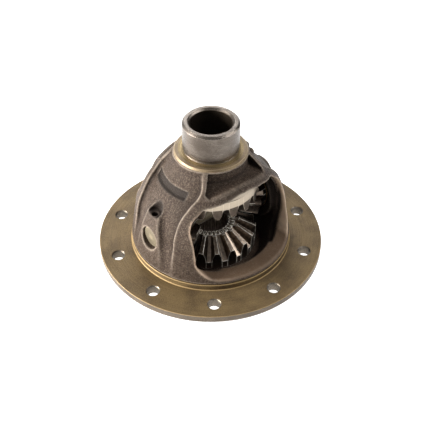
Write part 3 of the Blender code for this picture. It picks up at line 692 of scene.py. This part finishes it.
def cast_iron():
    """Rough brown-grey casting: lighter on edges and ridges from wear and painted highlight, painted shade in
    hollows, creases, recesses and inside, painted light on the window jamb, and a skirt machined by the gear,
    brightened as painted light.
    """
    s = Shader("cast_iron", 0.10, 0.55, 0.16)
    patch = s.noise(48.0, 3.0)
    mottle = s.noise(800.0, 4.0, 0.7)
    grain = s.noise(2000.0, 3.0, 0.7)
    dark = (0.34, (0.017, 0.011, 0.007))
    plain = (0.52, (0.050, 0.033, 0.023))
    pale = (0.70, (0.145, 0.108, 0.082))
    colour = s.ramp(mottle, dark, plain, pale)
    colour = s.mix(s.span(patch, 0.42, 0.66, 0.0, 0.45), colour, (0.026, 0.017, 0.011))
    # Lighter on broad ridges: partly wear, partly painted highlight.
    colour = s.mix(s.math("MULTIPLY", s.attribute("ridge"), 0.25), colour, (0.18, 0.138, 0.105))
    # Painted shade: darker in broad hollows and in small creases.
    colour = s.mix(s.math("MULTIPLY", s.attribute("hollow"), 0.75), colour, (0.020, 0.013, 0.009))
    colour = s.mix(s.math("MULTIPLY", s.attribute("dip"), 0.8), colour, (0.014, 0.010, 0.007))
    # Thin pale lines on sharp edges: rubbed wear and painted highlight.
    wear_and_highlight = s.math("MULTIPLY", s.attribute("edge"), s.span(grain, 0.28, 0.6, 0.30, 0.85))
    colour = s.mix(wear_and_highlight, colour, (0.42, 0.35, 0.28))
    colour = s.mix(s.math("MULTIPLY", s.attribute("sill"), 0.6), colour, (0.165, 0.105, 0.064))
    # Painted light: the window jamb made pale as if lit from the front.
    colour = s.mix(s.math("MULTIPLY", s.attribute("jamb"), 0.85), colour, (0.62, 0.46, 0.33))
    # Painted shade: dark in the label recess and round the lock hole.
    colour = s.mix(s.math("MULTIPLY", s.attribute("stain_and_recess_shade"), 0.9), colour, (0.018, 0.013, 0.010))
    # Painted shade: near black over the inside of the cavity.
    colour = s.mix(s.math("MULTIPLY", s.attribute("inside"), 0.93), colour, (0.012, 0.008, 0.006))
    # The skirt: pale machined tone and painted light, matching the lit band of the gear.
    colour = s.mix(s.attribute("skirt"), colour, (0.50, 0.43, 0.34))
    normal = s.bump(mottle, 0.0008, 0.8)
    normal = s.bump(grain, 0.0005, 0.9, normal)
    return s.finish(colour, s.span(grain, 0.3, 0.7, 0.42, 0.68), normal)


def machined(name, light, dark, stain_and_recess_shade, roughness, metallic=0.9, grit=0.5):
    """Turned surface with fine rings, soft stains, gritty specks and a film of oil."""
    s = Shader(name, metallic, roughness)
    rings = s.noise(1.0, 4.0, 0.7, s.polar(1.6, 2600.0, 2600.0))
    broad = s.noise(1.0, 2.0, 0.5, s.polar(3.0, 420.0, 420.0))
    speck = s.noise(1250.0, 4.0, 0.8)
    patch = s.noise(36.0, 4.0, 0.6)
    colour = s.mix(s.span(rings, 0.3, 0.7), dark, light)
    colour = s.mix(s.span(patch, 0.42, 0.66, 0.0, 0.7), colour, stain_and_recess_shade)
    colour = s.mix(s.span(speck, 0.48, 0.66, 0.0, grit), colour, stain_and_recess_shade)
    colour = s.mix(s.span(speck, 0.46, 0.30, 0.0, grit * 0.7), colour, light)
    # Painted highlight on the narrow faces of rounded corners.
    bright = tuple(min(1.0, 2.2 * part) for part in light)
    colour = s.mix(s.math("MULTIPLY", s.attribute("edge"), 0.5), colour, bright)
    film = s.span(broad, 0.3, 0.7, roughness - 0.05, roughness + 0.06)
    rough = s.math("ADD", s.span(speck, 0.3, 0.7, -0.06, 0.12), film)
    normal = s.bump(rings, 0.00006, 0.5)
    normal = s.bump(speck, 0.00030, 0.6, normal)
    return s.finish(colour, rough, normal)


def gear_steel(name, light, dark, edge, rim, roughness, metallic=1.0):
    """Cut and hardened gear steel with an oil film, a painted highlight on the tooth edges and a turned rim.
    """
    s = Shader(name, metallic, roughness)
    mottle = s.noise(350.0, 4.0, 0.6)
    fine = s.noise(1800.0, 3.0, 0.6)
    rings = s.noise(1.0, 4.0, 0.7, s.polar(2.0, 200.0, 1800.0))
    colour = s.mix(s.span(mottle, 0.35, 0.68), dark, light)
    turned = s.mix(s.span(rings, 0.3, 0.7), rim, tuple(0.72 * part for part in rim))
    colour = s.mix(s.attribute("rim"), colour, turned)
    # Painted highlight: near-white lines on the tooth edges.
    wear_and_highlight = s.math("MULTIPLY", s.attribute("edge"), s.span(mottle, 0.36, 0.6, 0.25, 1.0))
    colour = s.mix(wear_and_highlight, colour, edge)
    normal = s.bump(fine, 0.00004, 0.4)
    s.feed(s.bsdf.inputs["Metallic"], s.span(s.attribute("edge"), 0.0, 1.0, metallic, 0.35))
    film = s.span(mottle, 0.3, 0.7, roughness - 0.04, roughness + 0.06)
    return s.finish(colour, s.math("ADD", film, s.math("MULTIPLY", s.attribute("edge"), 0.2)), normal)


# --- turned pieces of the case ---------------

def lathe_piece(name, profile, segments, body, materials, zone):
    """Turn a rounded closed profile and give each face the material of its zone."""
    verts, faces = turned_mesh(rounded(profile, 4), segments)
    item = new_object(name, verts, faces, body)
    bm = bmesh.new()
    bm.from_mesh(item.data)
    bmesh.ops.recalc_face_normals(bm, faces=bm.faces)
    for face in bm.faces:
        middle = (face.calc_center_median() - CENTRE) / MM
        face.material_index = zone(math.hypot(middle.x, middle.y), middle.z, face.normal)
    bm.to_mesh(item.data)
    bm.free()
    for material in materials:
        item.data.materials.append(material)
    return item


def hub_corners(shoulder, end, side):
    """Return the corners of shoulder, undercut, journal and bore with small radii."""
    return [
        (SHOULDER_RADIUS + 0.9, shoulder - side * 1.44, 0.2),
        (SHOULDER_RADIUS, shoulder, 0.25),
        (GOLD_RADIUS, shoulder, 0.0),
        (JOURNAL_RADIUS + 1.6, shoulder, 0.8),
        (UNDERCUT_RADIUS, shoulder + side * UNDERCUT_HEIGHTS[0], 0.3),
        (UNDERCUT_RADIUS, shoulder + side * UNDERCUT_HEIGHTS[1], 0.3),
        (JOURNAL_RADIUS, shoulder + side * UNDERCUT_HEIGHTS[2], 0.3),
        (JOURNAL_RADIUS, end - side * JOURNAL_CHAMFER, 0.35),
        (JOURNAL_RADIUS - JOURNAL_CHAMFER, end, 0.35),
        (AXLE_BORE + JOURNAL_CHAMFER, end, 0.35),
        (AXLE_BORE, end - side * JOURNAL_CHAMFER, 0.35),
        (AXLE_BORE, side * HUB_DEPTH, 0.3),
    ]


def bolt_drills():
    """Return one mesh with a chamfered drill for each flange bolt."""
    wide = BOLT_RADIUS + BOLT_CHAMFER
    drill = [(wide + 1.0, FLANGE_BACK - 1.0), (BOLT_RADIUS, FLANGE_BACK + BOLT_CHAMFER)]
    drill += [(BOLT_RADIUS, FLANGE_TOP - BOLT_CHAMFER), (wide + 1.0, FLANGE_TOP + 1.0)]
    verts = []
    faces = []
    segments = 40
    for index in range(BOLT_COUNT):
        angle = 2.0 * math.pi * index / BOLT_COUNT - math.pi / 2.0
        ring_verts, ring_faces = turned_mesh(drill, segments, closed=False)
        base = len(verts)
        place = (BOLT_CIRCLE * math.cos(angle), BOLT_CIRCLE * math.sin(angle))
        verts += [(x + place[0], y + place[1], z) for x, y, z in ring_verts]
        faces += [tuple(base + v for v in face) for face in ring_faces]
        faces.append(tuple(base + v for v in range(segments)))
        faces.append(tuple(base + 3 * segments + v for v in reversed(range(segments))))
    return verts, faces


def build_flange(materials):
    """Make the flange, pilot ring, lower cone and lower hub as one turned piece."""
    hub = list(reversed(hub_corners(LOWER_SHOULDER, LOWER_END, -1.0)))
    flange = [
        (LOWER_CONE_RADIUS, FLANGE_BACK, 5.0),
        (FLANGE_RADIUS - FLANGE_DRAFT[0], FLANGE_BACK, 0.6),
        (FLANGE_RADIUS, FLANGE_TOP - FLANGE_DRAFT[1], 1.0),
        (FLANGE_RADIUS, FLANGE_TOP, 0.5),
        (PILOT_RADIUS, FLANGE_TOP, 0.9),
        (PILOT_RADIUS, PILOT_TOP, 0.7),
        (GROOVE_RADIUS - 2.0, PILOT_TOP, 0.3),
        (CORE_RADII[0], PILOT_TOP - 1.0, 0.3),
        (CORE_RADII[0], CORE_BOTTOM, 0.3),
        (CORE_RADII[1], CORE_BOTTOM, 0.3),
        (CORE_RADII[1], -HUB_DEPTH, 0.3),
    ]

    def zone(radius, height, normal):
        if radius > LOWER_CONE_RADIUS - 1.0 and height > FLANGE_BACK - 0.6:
            rim = radius > FLANGE_RADIUS - FLANGE_DRAFT[0] - 0.2 and normal.z < 0.5
            return 1 if rim or normal.z < -0.5 else 0
        if height > LOWER_SHOULDER + 1.2 and radius > SHOULDER_RADIUS + 0.2:
            return 2
        return 3

    item = lathe_piece("flange_and_lower_hub", hub + flange, 240, "case", materials, zone)
    verts, faces = bolt_drills()
    cutter = new_object("bolt_drills", verts, faces, "case")
    cutter.data.materials.append(materials[4])
    bm = bmesh.new()
    bm.from_mesh(cutter.data)
    bmesh.ops.recalc_face_normals(bm, faces=bm.faces)
    bm.to_mesh(cutter.data)
    bm.free()
    cut = item.modifiers.new("holes", "BOOLEAN")
    cut.object = cutter
    cut.solver = "EXACT"
    cut.material_mode = "TRANSFER"
    apply_modifiers(item)
    bpy.data.objects.remove(cutter)
    finish_turned(item)
    return item


def finish_turned(item):
    """Shade a turned piece with flat faces kept flat and add its edge marks."""
    shade(item, 40.0)
    mark_rims(item)
    item.modifiers.new("normals", "WEIGHTED_NORMAL").keep_sharp = True


def mark_rims(item):
    """Mark the narrow faces of rounded corners so that they catch the light."""
    mesh = item.data
    bm = bmesh.new()
    bm.from_mesh(mesh)
    layer = bm.verts.layers.float.new("edge")
    for vertex in bm.verts:
        small = [face for face in vertex.link_faces if face.calc_area() < RIM_FACE_AREA]
        vertex[layer] = 1.0 if small and len(small) == len(vertex.link_faces) else 0.0
    bm.to_mesh(mesh)
    bm.free()


def build_upper_hub(materials):
    """Make the upper bearing shoulder, journal and bore as one turned piece."""
    inside = [(HUB_ROOT[0], HUB_DEPTH, 0.3), (*HUB_ROOT, 0.3), (*HUB_LIP, 0.1)]
    corners = inside + hub_corners(UPPER_SHOULDER, UPPER_END, 1.0)

    def zone(radius, height, normal):
        # The axle bore wall takes a darker steel as painted shade.
        if radius < AXLE_BORE + 0.4:
            return 2
        if height > UPPER_SHOULDER + 0.3:
            return 1
        return 0 if radius < GOLD_RADIUS else 3

    item = lathe_piece("upper_hub", corners, 192, "case", materials, zone)
    finish_turned(item)
    return item


def build_casting(material):
    """Make the cast case from its distance field."""
    grid = Grid(*GRID_EXTENT, VOXEL)
    field, zones = case_field(grid)
    points, quads = grid.surface(field)
    item = new_object("cast_case", points, quads, "case", ("differential_case",))
    item.data.shade_smooth()
    for names, (rounds, full) in CURVATURE_MARKS.items():
        mark_edges(item, rounds, full, names)
    cell = np.clip(((points - grid.origin) / grid.step + 0.5).astype(int), 0, np.array(field.shape) - 1)
    for name, zone in zones.items():
        away = np.broadcast_to(zone, field.shape)[cell[:, 0], cell[:, 1], cell[:, 2]]
        if name == "inside":
            share = np.exp(-np.maximum(away, 0.0) / INSIDE_FADE)
        else:
            share = np.clip(0.5 - away / ZONE_FADE, 0.0, 1.0)
        layer = item.data.attributes.new(name, "FLOAT", "POINT")
        layer.data.foreach_set("value", share.astype(np.float32))
    item.data.materials.append(material)
    return item


# --- gears -----------------------------------

def involute(angle):
    """Return the involute function of an angle."""
    return math.tan(angle) - angle


def tooth_outline(teeth, pitch_angle, addendum, thickness, first_tooth, steps=7):
    """Return the heel outline (radius, turn, height) of a bevel gear with its apex at zero.

    Each flank is the involute of the equivalent spur gear on the back cone, with a
    small fillet at the root and a broken edge at the tip.
    """
    pitch_radius = HEEL * math.sin(pitch_angle)
    virtual = HEEL * math.tan(pitch_angle)
    base = virtual * math.cos(PRESSURE)
    tip = virtual + addendum
    root = tip - WHOLE_DEPTH
    middle = thickness / (2.0 * virtual) + involute(PRESSURE)
    flank = []

    def add(rho, extra):
        pressure = math.acos(min(1.0, base / rho))
        half = (middle - involute(pressure) + extra / rho) / math.cos(pitch_angle)
        height = rho - virtual
        radius = pitch_radius + height * math.cos(pitch_angle)
        flank.append((radius, half, HEEL * math.cos(pitch_angle) - height * math.sin(pitch_angle)))

    for rise, extra in ROOT_FILLET:
        add(root + rise, extra)
    for step in range(steps):
        share = step / (steps - 1)
        add(root + FLANK_START + (tip - TIP_BREAK - root - FLANK_START) * share, 0.0)
    add(tip, -TIP_BREAK)
    outline = []
    for tooth in range(teeth):
        turn = 2.0 * math.pi * (tooth + first_tooth) / teeth
        outline += [(radius, turn - half, height) for radius, half, height in flank]
        outline += [(radius, turn + half, height) for radius, half, height in reversed(flank)]
    return outline


def gear_rings(outline, stations):
    """Return rings that share the turns of an outline; a station gives radius and height."""
    rings = []
    for station in stations:
        points = []
        for radius, turn, height in outline:
            r, z = station(radius, height)
            points.append((r * math.cos(turn), r * math.sin(turn), z))
        rings.append(points)
    return rings


def gear_piece(name, rings, inner_rings, turn, body, slot, node, material, pitch_angle):
    """Join the outer rings and the rings of the bore into one closed gear."""
    bm = bmesh.new()
    rows = [[bm.verts.new(point) for point in points] for points in rings]
    count = len(rows[0])
    for low, high in zip(rows, rows[1:]):
        for step in range(count):
            after = (step + 1) % count
            bm.faces.new((low[step], low[after], high[after], high[step]))
    inner = [[bm.verts.new(point) for point in points] for points in inner_rings]
    number = len(inner[0])
    for low, high in zip(inner, inner[1:]):
        for step in range(number):
            after = (step + 1) % number
            bm.faces.new((low[step], low[after], high[after], high[step]))
    for outer, hole in ((rows[0], inner[0]), (rows[-1], inner[-1])):
        edges = []
        for loop in (outer, hole):
            for step in range(len(loop)):
                pair = (loop[step], loop[(step + 1) % len(loop)])
                edges.append(bm.edges.get(pair) or bm.edges.new(pair))
        bmesh.ops.triangle_fill(bm, edges=edges, use_beauty=True)
    bmesh.ops.recalc_face_normals(bm, faces=bm.faces)
    mesh = bpy.data.meshes.new(name)
    bm.to_mesh(mesh)
    bm.free()
    mesh.transform(Matrix.Translation(CENTRE) @ turn @ Matrix.Scale(MM, 4))
    item = bpy.data.objects.new(name, mesh)
    bpy.context.scene.collection.objects.link(item)
    bevel = item.modifiers.new("bevel", "BEVEL")
    bevel.width = BEVEL * MM
    bevel.segments = 2
    bevel.limit_method = "ANGLE"
    bevel.angle_limit = math.radians(38.0)
    apply_modifiers(item)
    shade(item, 32.0)
    mark_gear(item, turn, pitch_angle)
    item.modifiers.new("normals", "WEIGHTED_NORMAL").keep_sharp = True
    item.data.materials.append(material)
    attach(item, body)
    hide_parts(node)
    return item


def mark_gear(item, turn, pitch_angle):
    """Store on each face whether it is a broken edge (edge) or on the turned rim (rim)."""
    mesh = item.data
    upright = (Matrix.Translation(CENTRE) @ turn).inverted()
    edges = []
    rims = []
    for face in mesh.polygons:
        corners = [mesh.vertices[index].co for index in face.vertices]
        longest = max((a - b).length for a, b in zip(corners, corners[1:] + corners[:1]))
        width = face.area / longest / MM
        middle = upright @ face.center / MM
        radius = math.hypot(middle.x, middle.y)
        along = math.hypot(radius, middle.z)
        on_teeth = TOE - 1.0 < along < HEEL + 1.0 and radius < SIDE_RIM - MARK_MARGIN
        high = math.atan2(radius, middle.z) > pitch_angle
        edge = width < TOOTH_EDGE_WIDTH and (high if on_teeth else width < BODY_EDGE_WIDTH)
        edges.append(1.0 if edge else 0.0)
        rims.append(1.0 if abs(radius - SIDE_RIM) < 0.4 and middle.z > SIDE_RIM_FOOT + 0.2 else 0.0)
    for name, values in (("edge", edges), ("rim", rims)):
        mesh.attributes.new(name, "FLOAT", "FACE").data.foreach_set("value", values)


def round_ring(radius, height, count):
    """Return one round ring about Z."""
    angles = [2.0 * math.pi * step / count for step in range(count)]
    return [(radius * math.cos(a), radius * math.sin(a), height) for a in angles]


def spline_ring(height, grow=0.0):
    """Return the outline of the internal splines at one height."""
    points = []
    for spline in range(SPLINES):
        for share, radius in SPLINE_WAVE:
            angle = 2.0 * math.pi * (spline + share) / SPLINES
            points.append(((radius + grow) * math.cos(angle), (radius + grow) * math.sin(angle), height))
    return points


def side_thickness():
    """Return the pitch thickness of a side-gear tooth at the heel."""
    extra = (WORKING_DEPTH - 2.0 * SIDE_ADDENDUM) * math.tan(PRESSURE)
    return math.pi * MODULE / 2.0 - extra - BACKLASH / 2.0


def build_side_gear(name, node, body, slot, turn, material):
    """Make one side gear with its rim, thrust face, hub and splined bore."""
    pitch_angle = math.atan2(SIDE_TEETH, PINION_TEETH)
    outline = tooth_outline(SIDE_TEETH, pitch_angle, SIDE_ADDENDUM, side_thickness(), 0.0)
    toe = TOE / HEEL

    def between(share):
        return lambda radius, height: tuple(
            value * (toe + (SIDE_RIM / radius - toe) * share) for value in (radius, height)
        )

    stations = [lambda radius, height: SIDE_TOE_FACE]
    stations += [between(share) for share in ALONG_TOOTH]
    for fixed in SIDE_BACK:
        stations.append(lambda radius, height, fixed=fixed: fixed)
    inner = [spline_ring(height) for height in SIDE_BORE]
    inner[0] = spline_ring(SIDE_BORE[0], SPLINE_CHAMFER)
    inner[-1] = spline_ring(SIDE_BORE[-1], SPLINE_CHAMFER)
    rings = gear_rings(outline, stations)
    return gear_piece(name, rings, inner, turn, body, slot, node, material, pitch_angle)


def build_pinion(name, node, body, turn, material):
    """Make one pinion with its web, spherical back and plain bore."""
    pitch_angle = math.atan2(PINION_TEETH, SIDE_TEETH)
    thickness = math.pi * MODULE - side_thickness() - BACKLASH
    outline = tooth_outline(PINION_TEETH, pitch_angle, WORKING_DEPTH - SIDE_ADDENDUM, thickness, 0.5)
    toe = TOE / HEEL
    bore = PIN_RADIUS + GAP
    back = PINION_BACK_SPHERE
    stations = [lambda radius, height: PINION_TOE_FACE]
    for share in ALONG_TOOTH:
        scale = toe + (1.0 - toe) * share
        stations.append(lambda radius, height, scale=scale: (radius * scale, height * scale))
    stations.append(lambda radius, height: PINION_SHOULDER)
    for ring in PINION_BACK_RINGS:
        stations.append(lambda radius, height, ring=ring: (ring, math.sqrt(back ** 2 - ring ** 2)))
    top = math.sqrt(back ** 2 - bore ** 2) - 0.05
    inner = [round_ring(bore, height, 64) for height in (PINION_TOE_FACE[1], top)]
    rings = gear_rings(outline, stations)
    return gear_piece(name, rings, inner, turn, body, "gear_steel_dark", node, material, pitch_angle)


# --- pins ------------------------------------

def build_pin(material):
    """Make the cross pin with chamfered ends."""
    along = Matrix.Rotation(math.radians(90.0), 4, "Y")
    half = [(0.05, PIN_END), (4.0, PIN_END), (8.2, PIN_END), (8.6, PIN_END - 0.05), (9.35, PIN_END - 0.75)]
    half.append((PIN_RADIUS, PIN_END - 1.1))
    profile = half + [(radius, -height) for radius, height in reversed(half)]
    verts, faces = turned_mesh(profile, 96)
    verts = [tuple(along @ Vector(v)) for v in verts]
    item = new_object("pin_shaft", verts, faces, "case", ("cross_pin",))
    fix_normals(item)
    shade(item, 30.0)
    mark_rims(item)
    item.modifiers.new("normals", "WEIGHTED_NORMAL").keep_sharp = True
    item.data.materials.append(material)
    return item


def fix_normals(item):
    """Turn all faces of a piece outward."""
    bm = bmesh.new()
    bm.from_mesh(item.data)
    bmesh.ops.recalc_face_normals(bm, faces=bm.faces)
    bm.to_mesh(item.data)
    bm.free()


def recolour(node, material):
    """Give a CAD node a new material."""
    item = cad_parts[node]
    if not item.data.materials:
        item.data.materials.append(material)
    for place in item.material_slots:
        place.material = material


# --- the model -------------------------------

CAST = cast_iron()
OLIVE = machined(
    "machined_flange", (0.215, 0.147, 0.064), (0.108, 0.072, 0.031), (0.050, 0.030, 0.014), 0.54, 0.45, 0.85
)
RIM = machined("flange_rim", (0.165, 0.132, 0.098), (0.095, 0.075, 0.055), (0.055, 0.040, 0.028), 0.5, 0.6)
GOLD = machined(
    "machined_shoulder", (0.34, 0.26, 0.13), (0.21, 0.155, 0.078), (0.12, 0.085, 0.045), 0.4, 0.85
)
SATIN = machined(
    "journal_steel", (0.205, 0.178, 0.154), (0.112, 0.096, 0.082), (0.064, 0.051, 0.041), 0.28, 1.0, 0.45
)
SEAT = machined(
    "shoulder_face", (0.30, 0.226, 0.136), (0.18, 0.131, 0.077), (0.095, 0.067, 0.040), 0.45, 0.6
)
DRILLED = machined("drilled_steel", (0.22, 0.19, 0.15), (0.12, 0.10, 0.08), (0.07, 0.055, 0.04), 0.4)
# Painted shade: the axle bore's wall, made much darker than the journal steel.
BORE_PAINTED_SHADE = machined("bore_steel_painted_shade", (0.075, 0.058, 0.044), (0.04, 0.03, 0.022), (0.025, 0.018, 0.012), 0.42)
DARK_GEAR = gear_steel(
    "gear_steel_dark",
    (0.20, 0.16, 0.125), (0.095, 0.074, 0.058), (0.90, 0.84, 0.74), (0.20, 0.16, 0.13), 0.32,
)
# The upper side gear's steel: its rim band is painted pale as painted light, and its teeth are painted darker
# than the lower gear's as painted shade.
UPPER_GEAR_LIGHT_AND_SHADE = gear_steel(
    "gear_steel_light",
    (0.11, 0.085, 0.066), (0.06, 0.047, 0.036), (0.62, 0.54, 0.43), (0.56, 0.475, 0.37), 0.32, 0.85,
)
PIN_STEEL = machined(
    "pin_steel", (0.21, 0.178, 0.122), (0.155, 0.128, 0.086), (0.10, 0.08, 0.05), 0.42, 0.7, 0.4
)
WASHER = machined("washer_steel", (0.34, 0.31, 0.26), (0.20, 0.18, 0.15), (0.12, 0.10, 0.08), 0.35)
BRONZE = machined("washer_bronze", (0.46, 0.31, 0.14), (0.28, 0.19, 0.09), (0.15, 0.10, 0.05), 0.36)
SPRING = machined("spring_steel", (0.10, 0.09, 0.08), (0.04, 0.035, 0.03), (0.03, 0.025, 0.02), 0.4)

build_casting(CAST)
build_flange([OLIVE, RIM, CAST, SATIN, DRILLED])
build_upper_hub([GOLD, SATIN, BORE_PAINTED_SHADE, SEAT])

UPRIGHT = Matrix.Identity(4)
UPSIDE_DOWN = Matrix.Rotation(math.pi, 4, "X")
ALONG_X = Matrix.Rotation(math.pi / 2.0, 4, "Y")
AGAINST_X = Matrix.Rotation(-math.pi / 2.0, 4, "Y")
SIDE_GEARS = (
    ("lower_bevel_gear", "side_gear_lower", "lower_side_gear", "gear_steel_dark", UPSIDE_DOWN, DARK_GEAR),
    ("upper_bevel_gear", "side_gear_upper", "upper_side_gear", "gear_steel_light", UPRIGHT, UPPER_GEAR_LIGHT_AND_SHADE),
)
for side_gear in SIDE_GEARS:
    build_side_gear(*side_gear)
build_pinion("right_bevel_pinion", "pinion_gear_right", "right_pinion", ALONG_X, DARK_GEAR)
build_pinion("left_bevel_pinion", "pinion_gear_left", "left_pinion", AGAINST_X, DARK_GEAR)
build_pin(PIN_STEEL)
recolour("cross_pin_lock_pin", SPRING)
for washer in ("side_gear_washer_lower", "side_gear_washer_upper"):
    recolour(washer, WASHER)
for washer in ("pinion_washer_left", "pinion_washer_right"):
    recolour(washer, BRONZE)

# --- camera, floor and light -----------------

LIGHTS = (
    ("key", (-1.10, 0.55, 0.34), (0.45, 0.55), 52.0, (1.0, 0.97, 0.93)),
    ("back", (0.55, 0.95, 0.60), (0.6, 0.5), 7.0, (1.0, 1.0, 1.0)),
    ("fill", (0.75, -0.65, 1.00), (0.45, 0.45), 12.0, (1.0, 1.0, 1.0)),
)

camera = bpy.data.cameras.new("camera")
camera.lens = 60.821
camera.sensor_width = 36.0
camera_object = bpy.data.objects.new("camera", camera)
camera_object.matrix_world = Matrix((
    (0.78345, 0.41217, -0.46510, -0.29685),
    (-0.62138, 0.53113, -0.57601, -0.37724),
    (0.00961, 0.74028, 0.67223, 0.50565),
    (0.0, 0.0, 0.0, 1.0),
))
bpy.context.scene.collection.objects.link(camera_object)
bpy.context.scene.camera = camera_object


def build_floor():
    """Make the pale floor."""
    verts, faces = turned_mesh([(0.001, 0.0), (1500.0, 0.0), (3000.0, 0.0)], 96, closed=False)
    mesh = bpy.data.meshes.new("floor")
    mesh.from_pydata(verts, [], faces)
    mesh.transform(Matrix.Translation((0.0, 0.0, case_low.z - 0.0002)) @ Matrix.Scale(MM, 4))
    floor = bpy.data.objects.new("floor", mesh)
    bpy.context.scene.collection.objects.link(floor)
    s = Shader("floor_white", 0.0, 0.9, 0.0)
    s.bsdf.inputs["Base Color"].default_value = (0.80, 0.80, 0.80, 1.0)
    s.bsdf.inputs["Emission Color"].default_value = (1.0, 1.0, 1.0, 1.0)
    s.bsdf.inputs["Emission Strength"].default_value = 0.55
    mesh.materials.append(s.finish())


def area_light(name, place, aim, size, power, colour):
    """Add one soft box aimed at a point."""
    light = bpy.data.lights.new(name, "AREA")
    light.shape = "RECTANGLE"
    light.size = size[0]
    light.size_y = size[1]
    light.energy = power
    light.color = colour
    item = bpy.data.objects.new(name, light)
    direction = Vector(aim) - Vector(place)
    item.matrix_world = Matrix.Translation(place) @ direction.to_track_quat("-Z", "Y").to_matrix().to_4x4()
    bpy.context.scene.collection.objects.link(item)


def build_world():
    """Make the studio's surroundings: bright behind the object, dim on the near side."""
    world = bpy.data.worlds.new("studio")
    world.use_nodes = True
    tree = world.node_tree
    place = tree.nodes.new("ShaderNodeTexCoord")
    dot = tree.nodes.new("ShaderNodeVectorMath")
    dot.operation = "DOT_PRODUCT"
    dot.inputs[1].default_value = (-0.45, 0.80, 0.40)
    tree.links.new(place.outputs["Generated"], dot.inputs[0])
    span = tree.nodes.new("ShaderNodeMapRange")
    for socket, number in zip(("From Min", "From Max", "To Min", "To Max"), (-0.5, 0.8, 0.04, 0.95)):
        span.inputs[socket].default_value = number
    tree.links.new(dot.outputs["Value"], span.inputs["Value"])
    background = tree.nodes["Background"]
    background.inputs["Color"].default_value = (1.0, 1.0, 1.0, 1.0)
    tree.links.new(span.outputs["Result"], background.inputs["Strength"])
    bpy.context.scene.world = world


build_floor()
build_world()
bpy.context.scene.view_settings.view_transform = "Standard"
target = (0.0, 0.0, CENTRE_Z)
for name, place, size, power, colour in LIGHTS:
    area_light(name, place, target, size, power, colour)
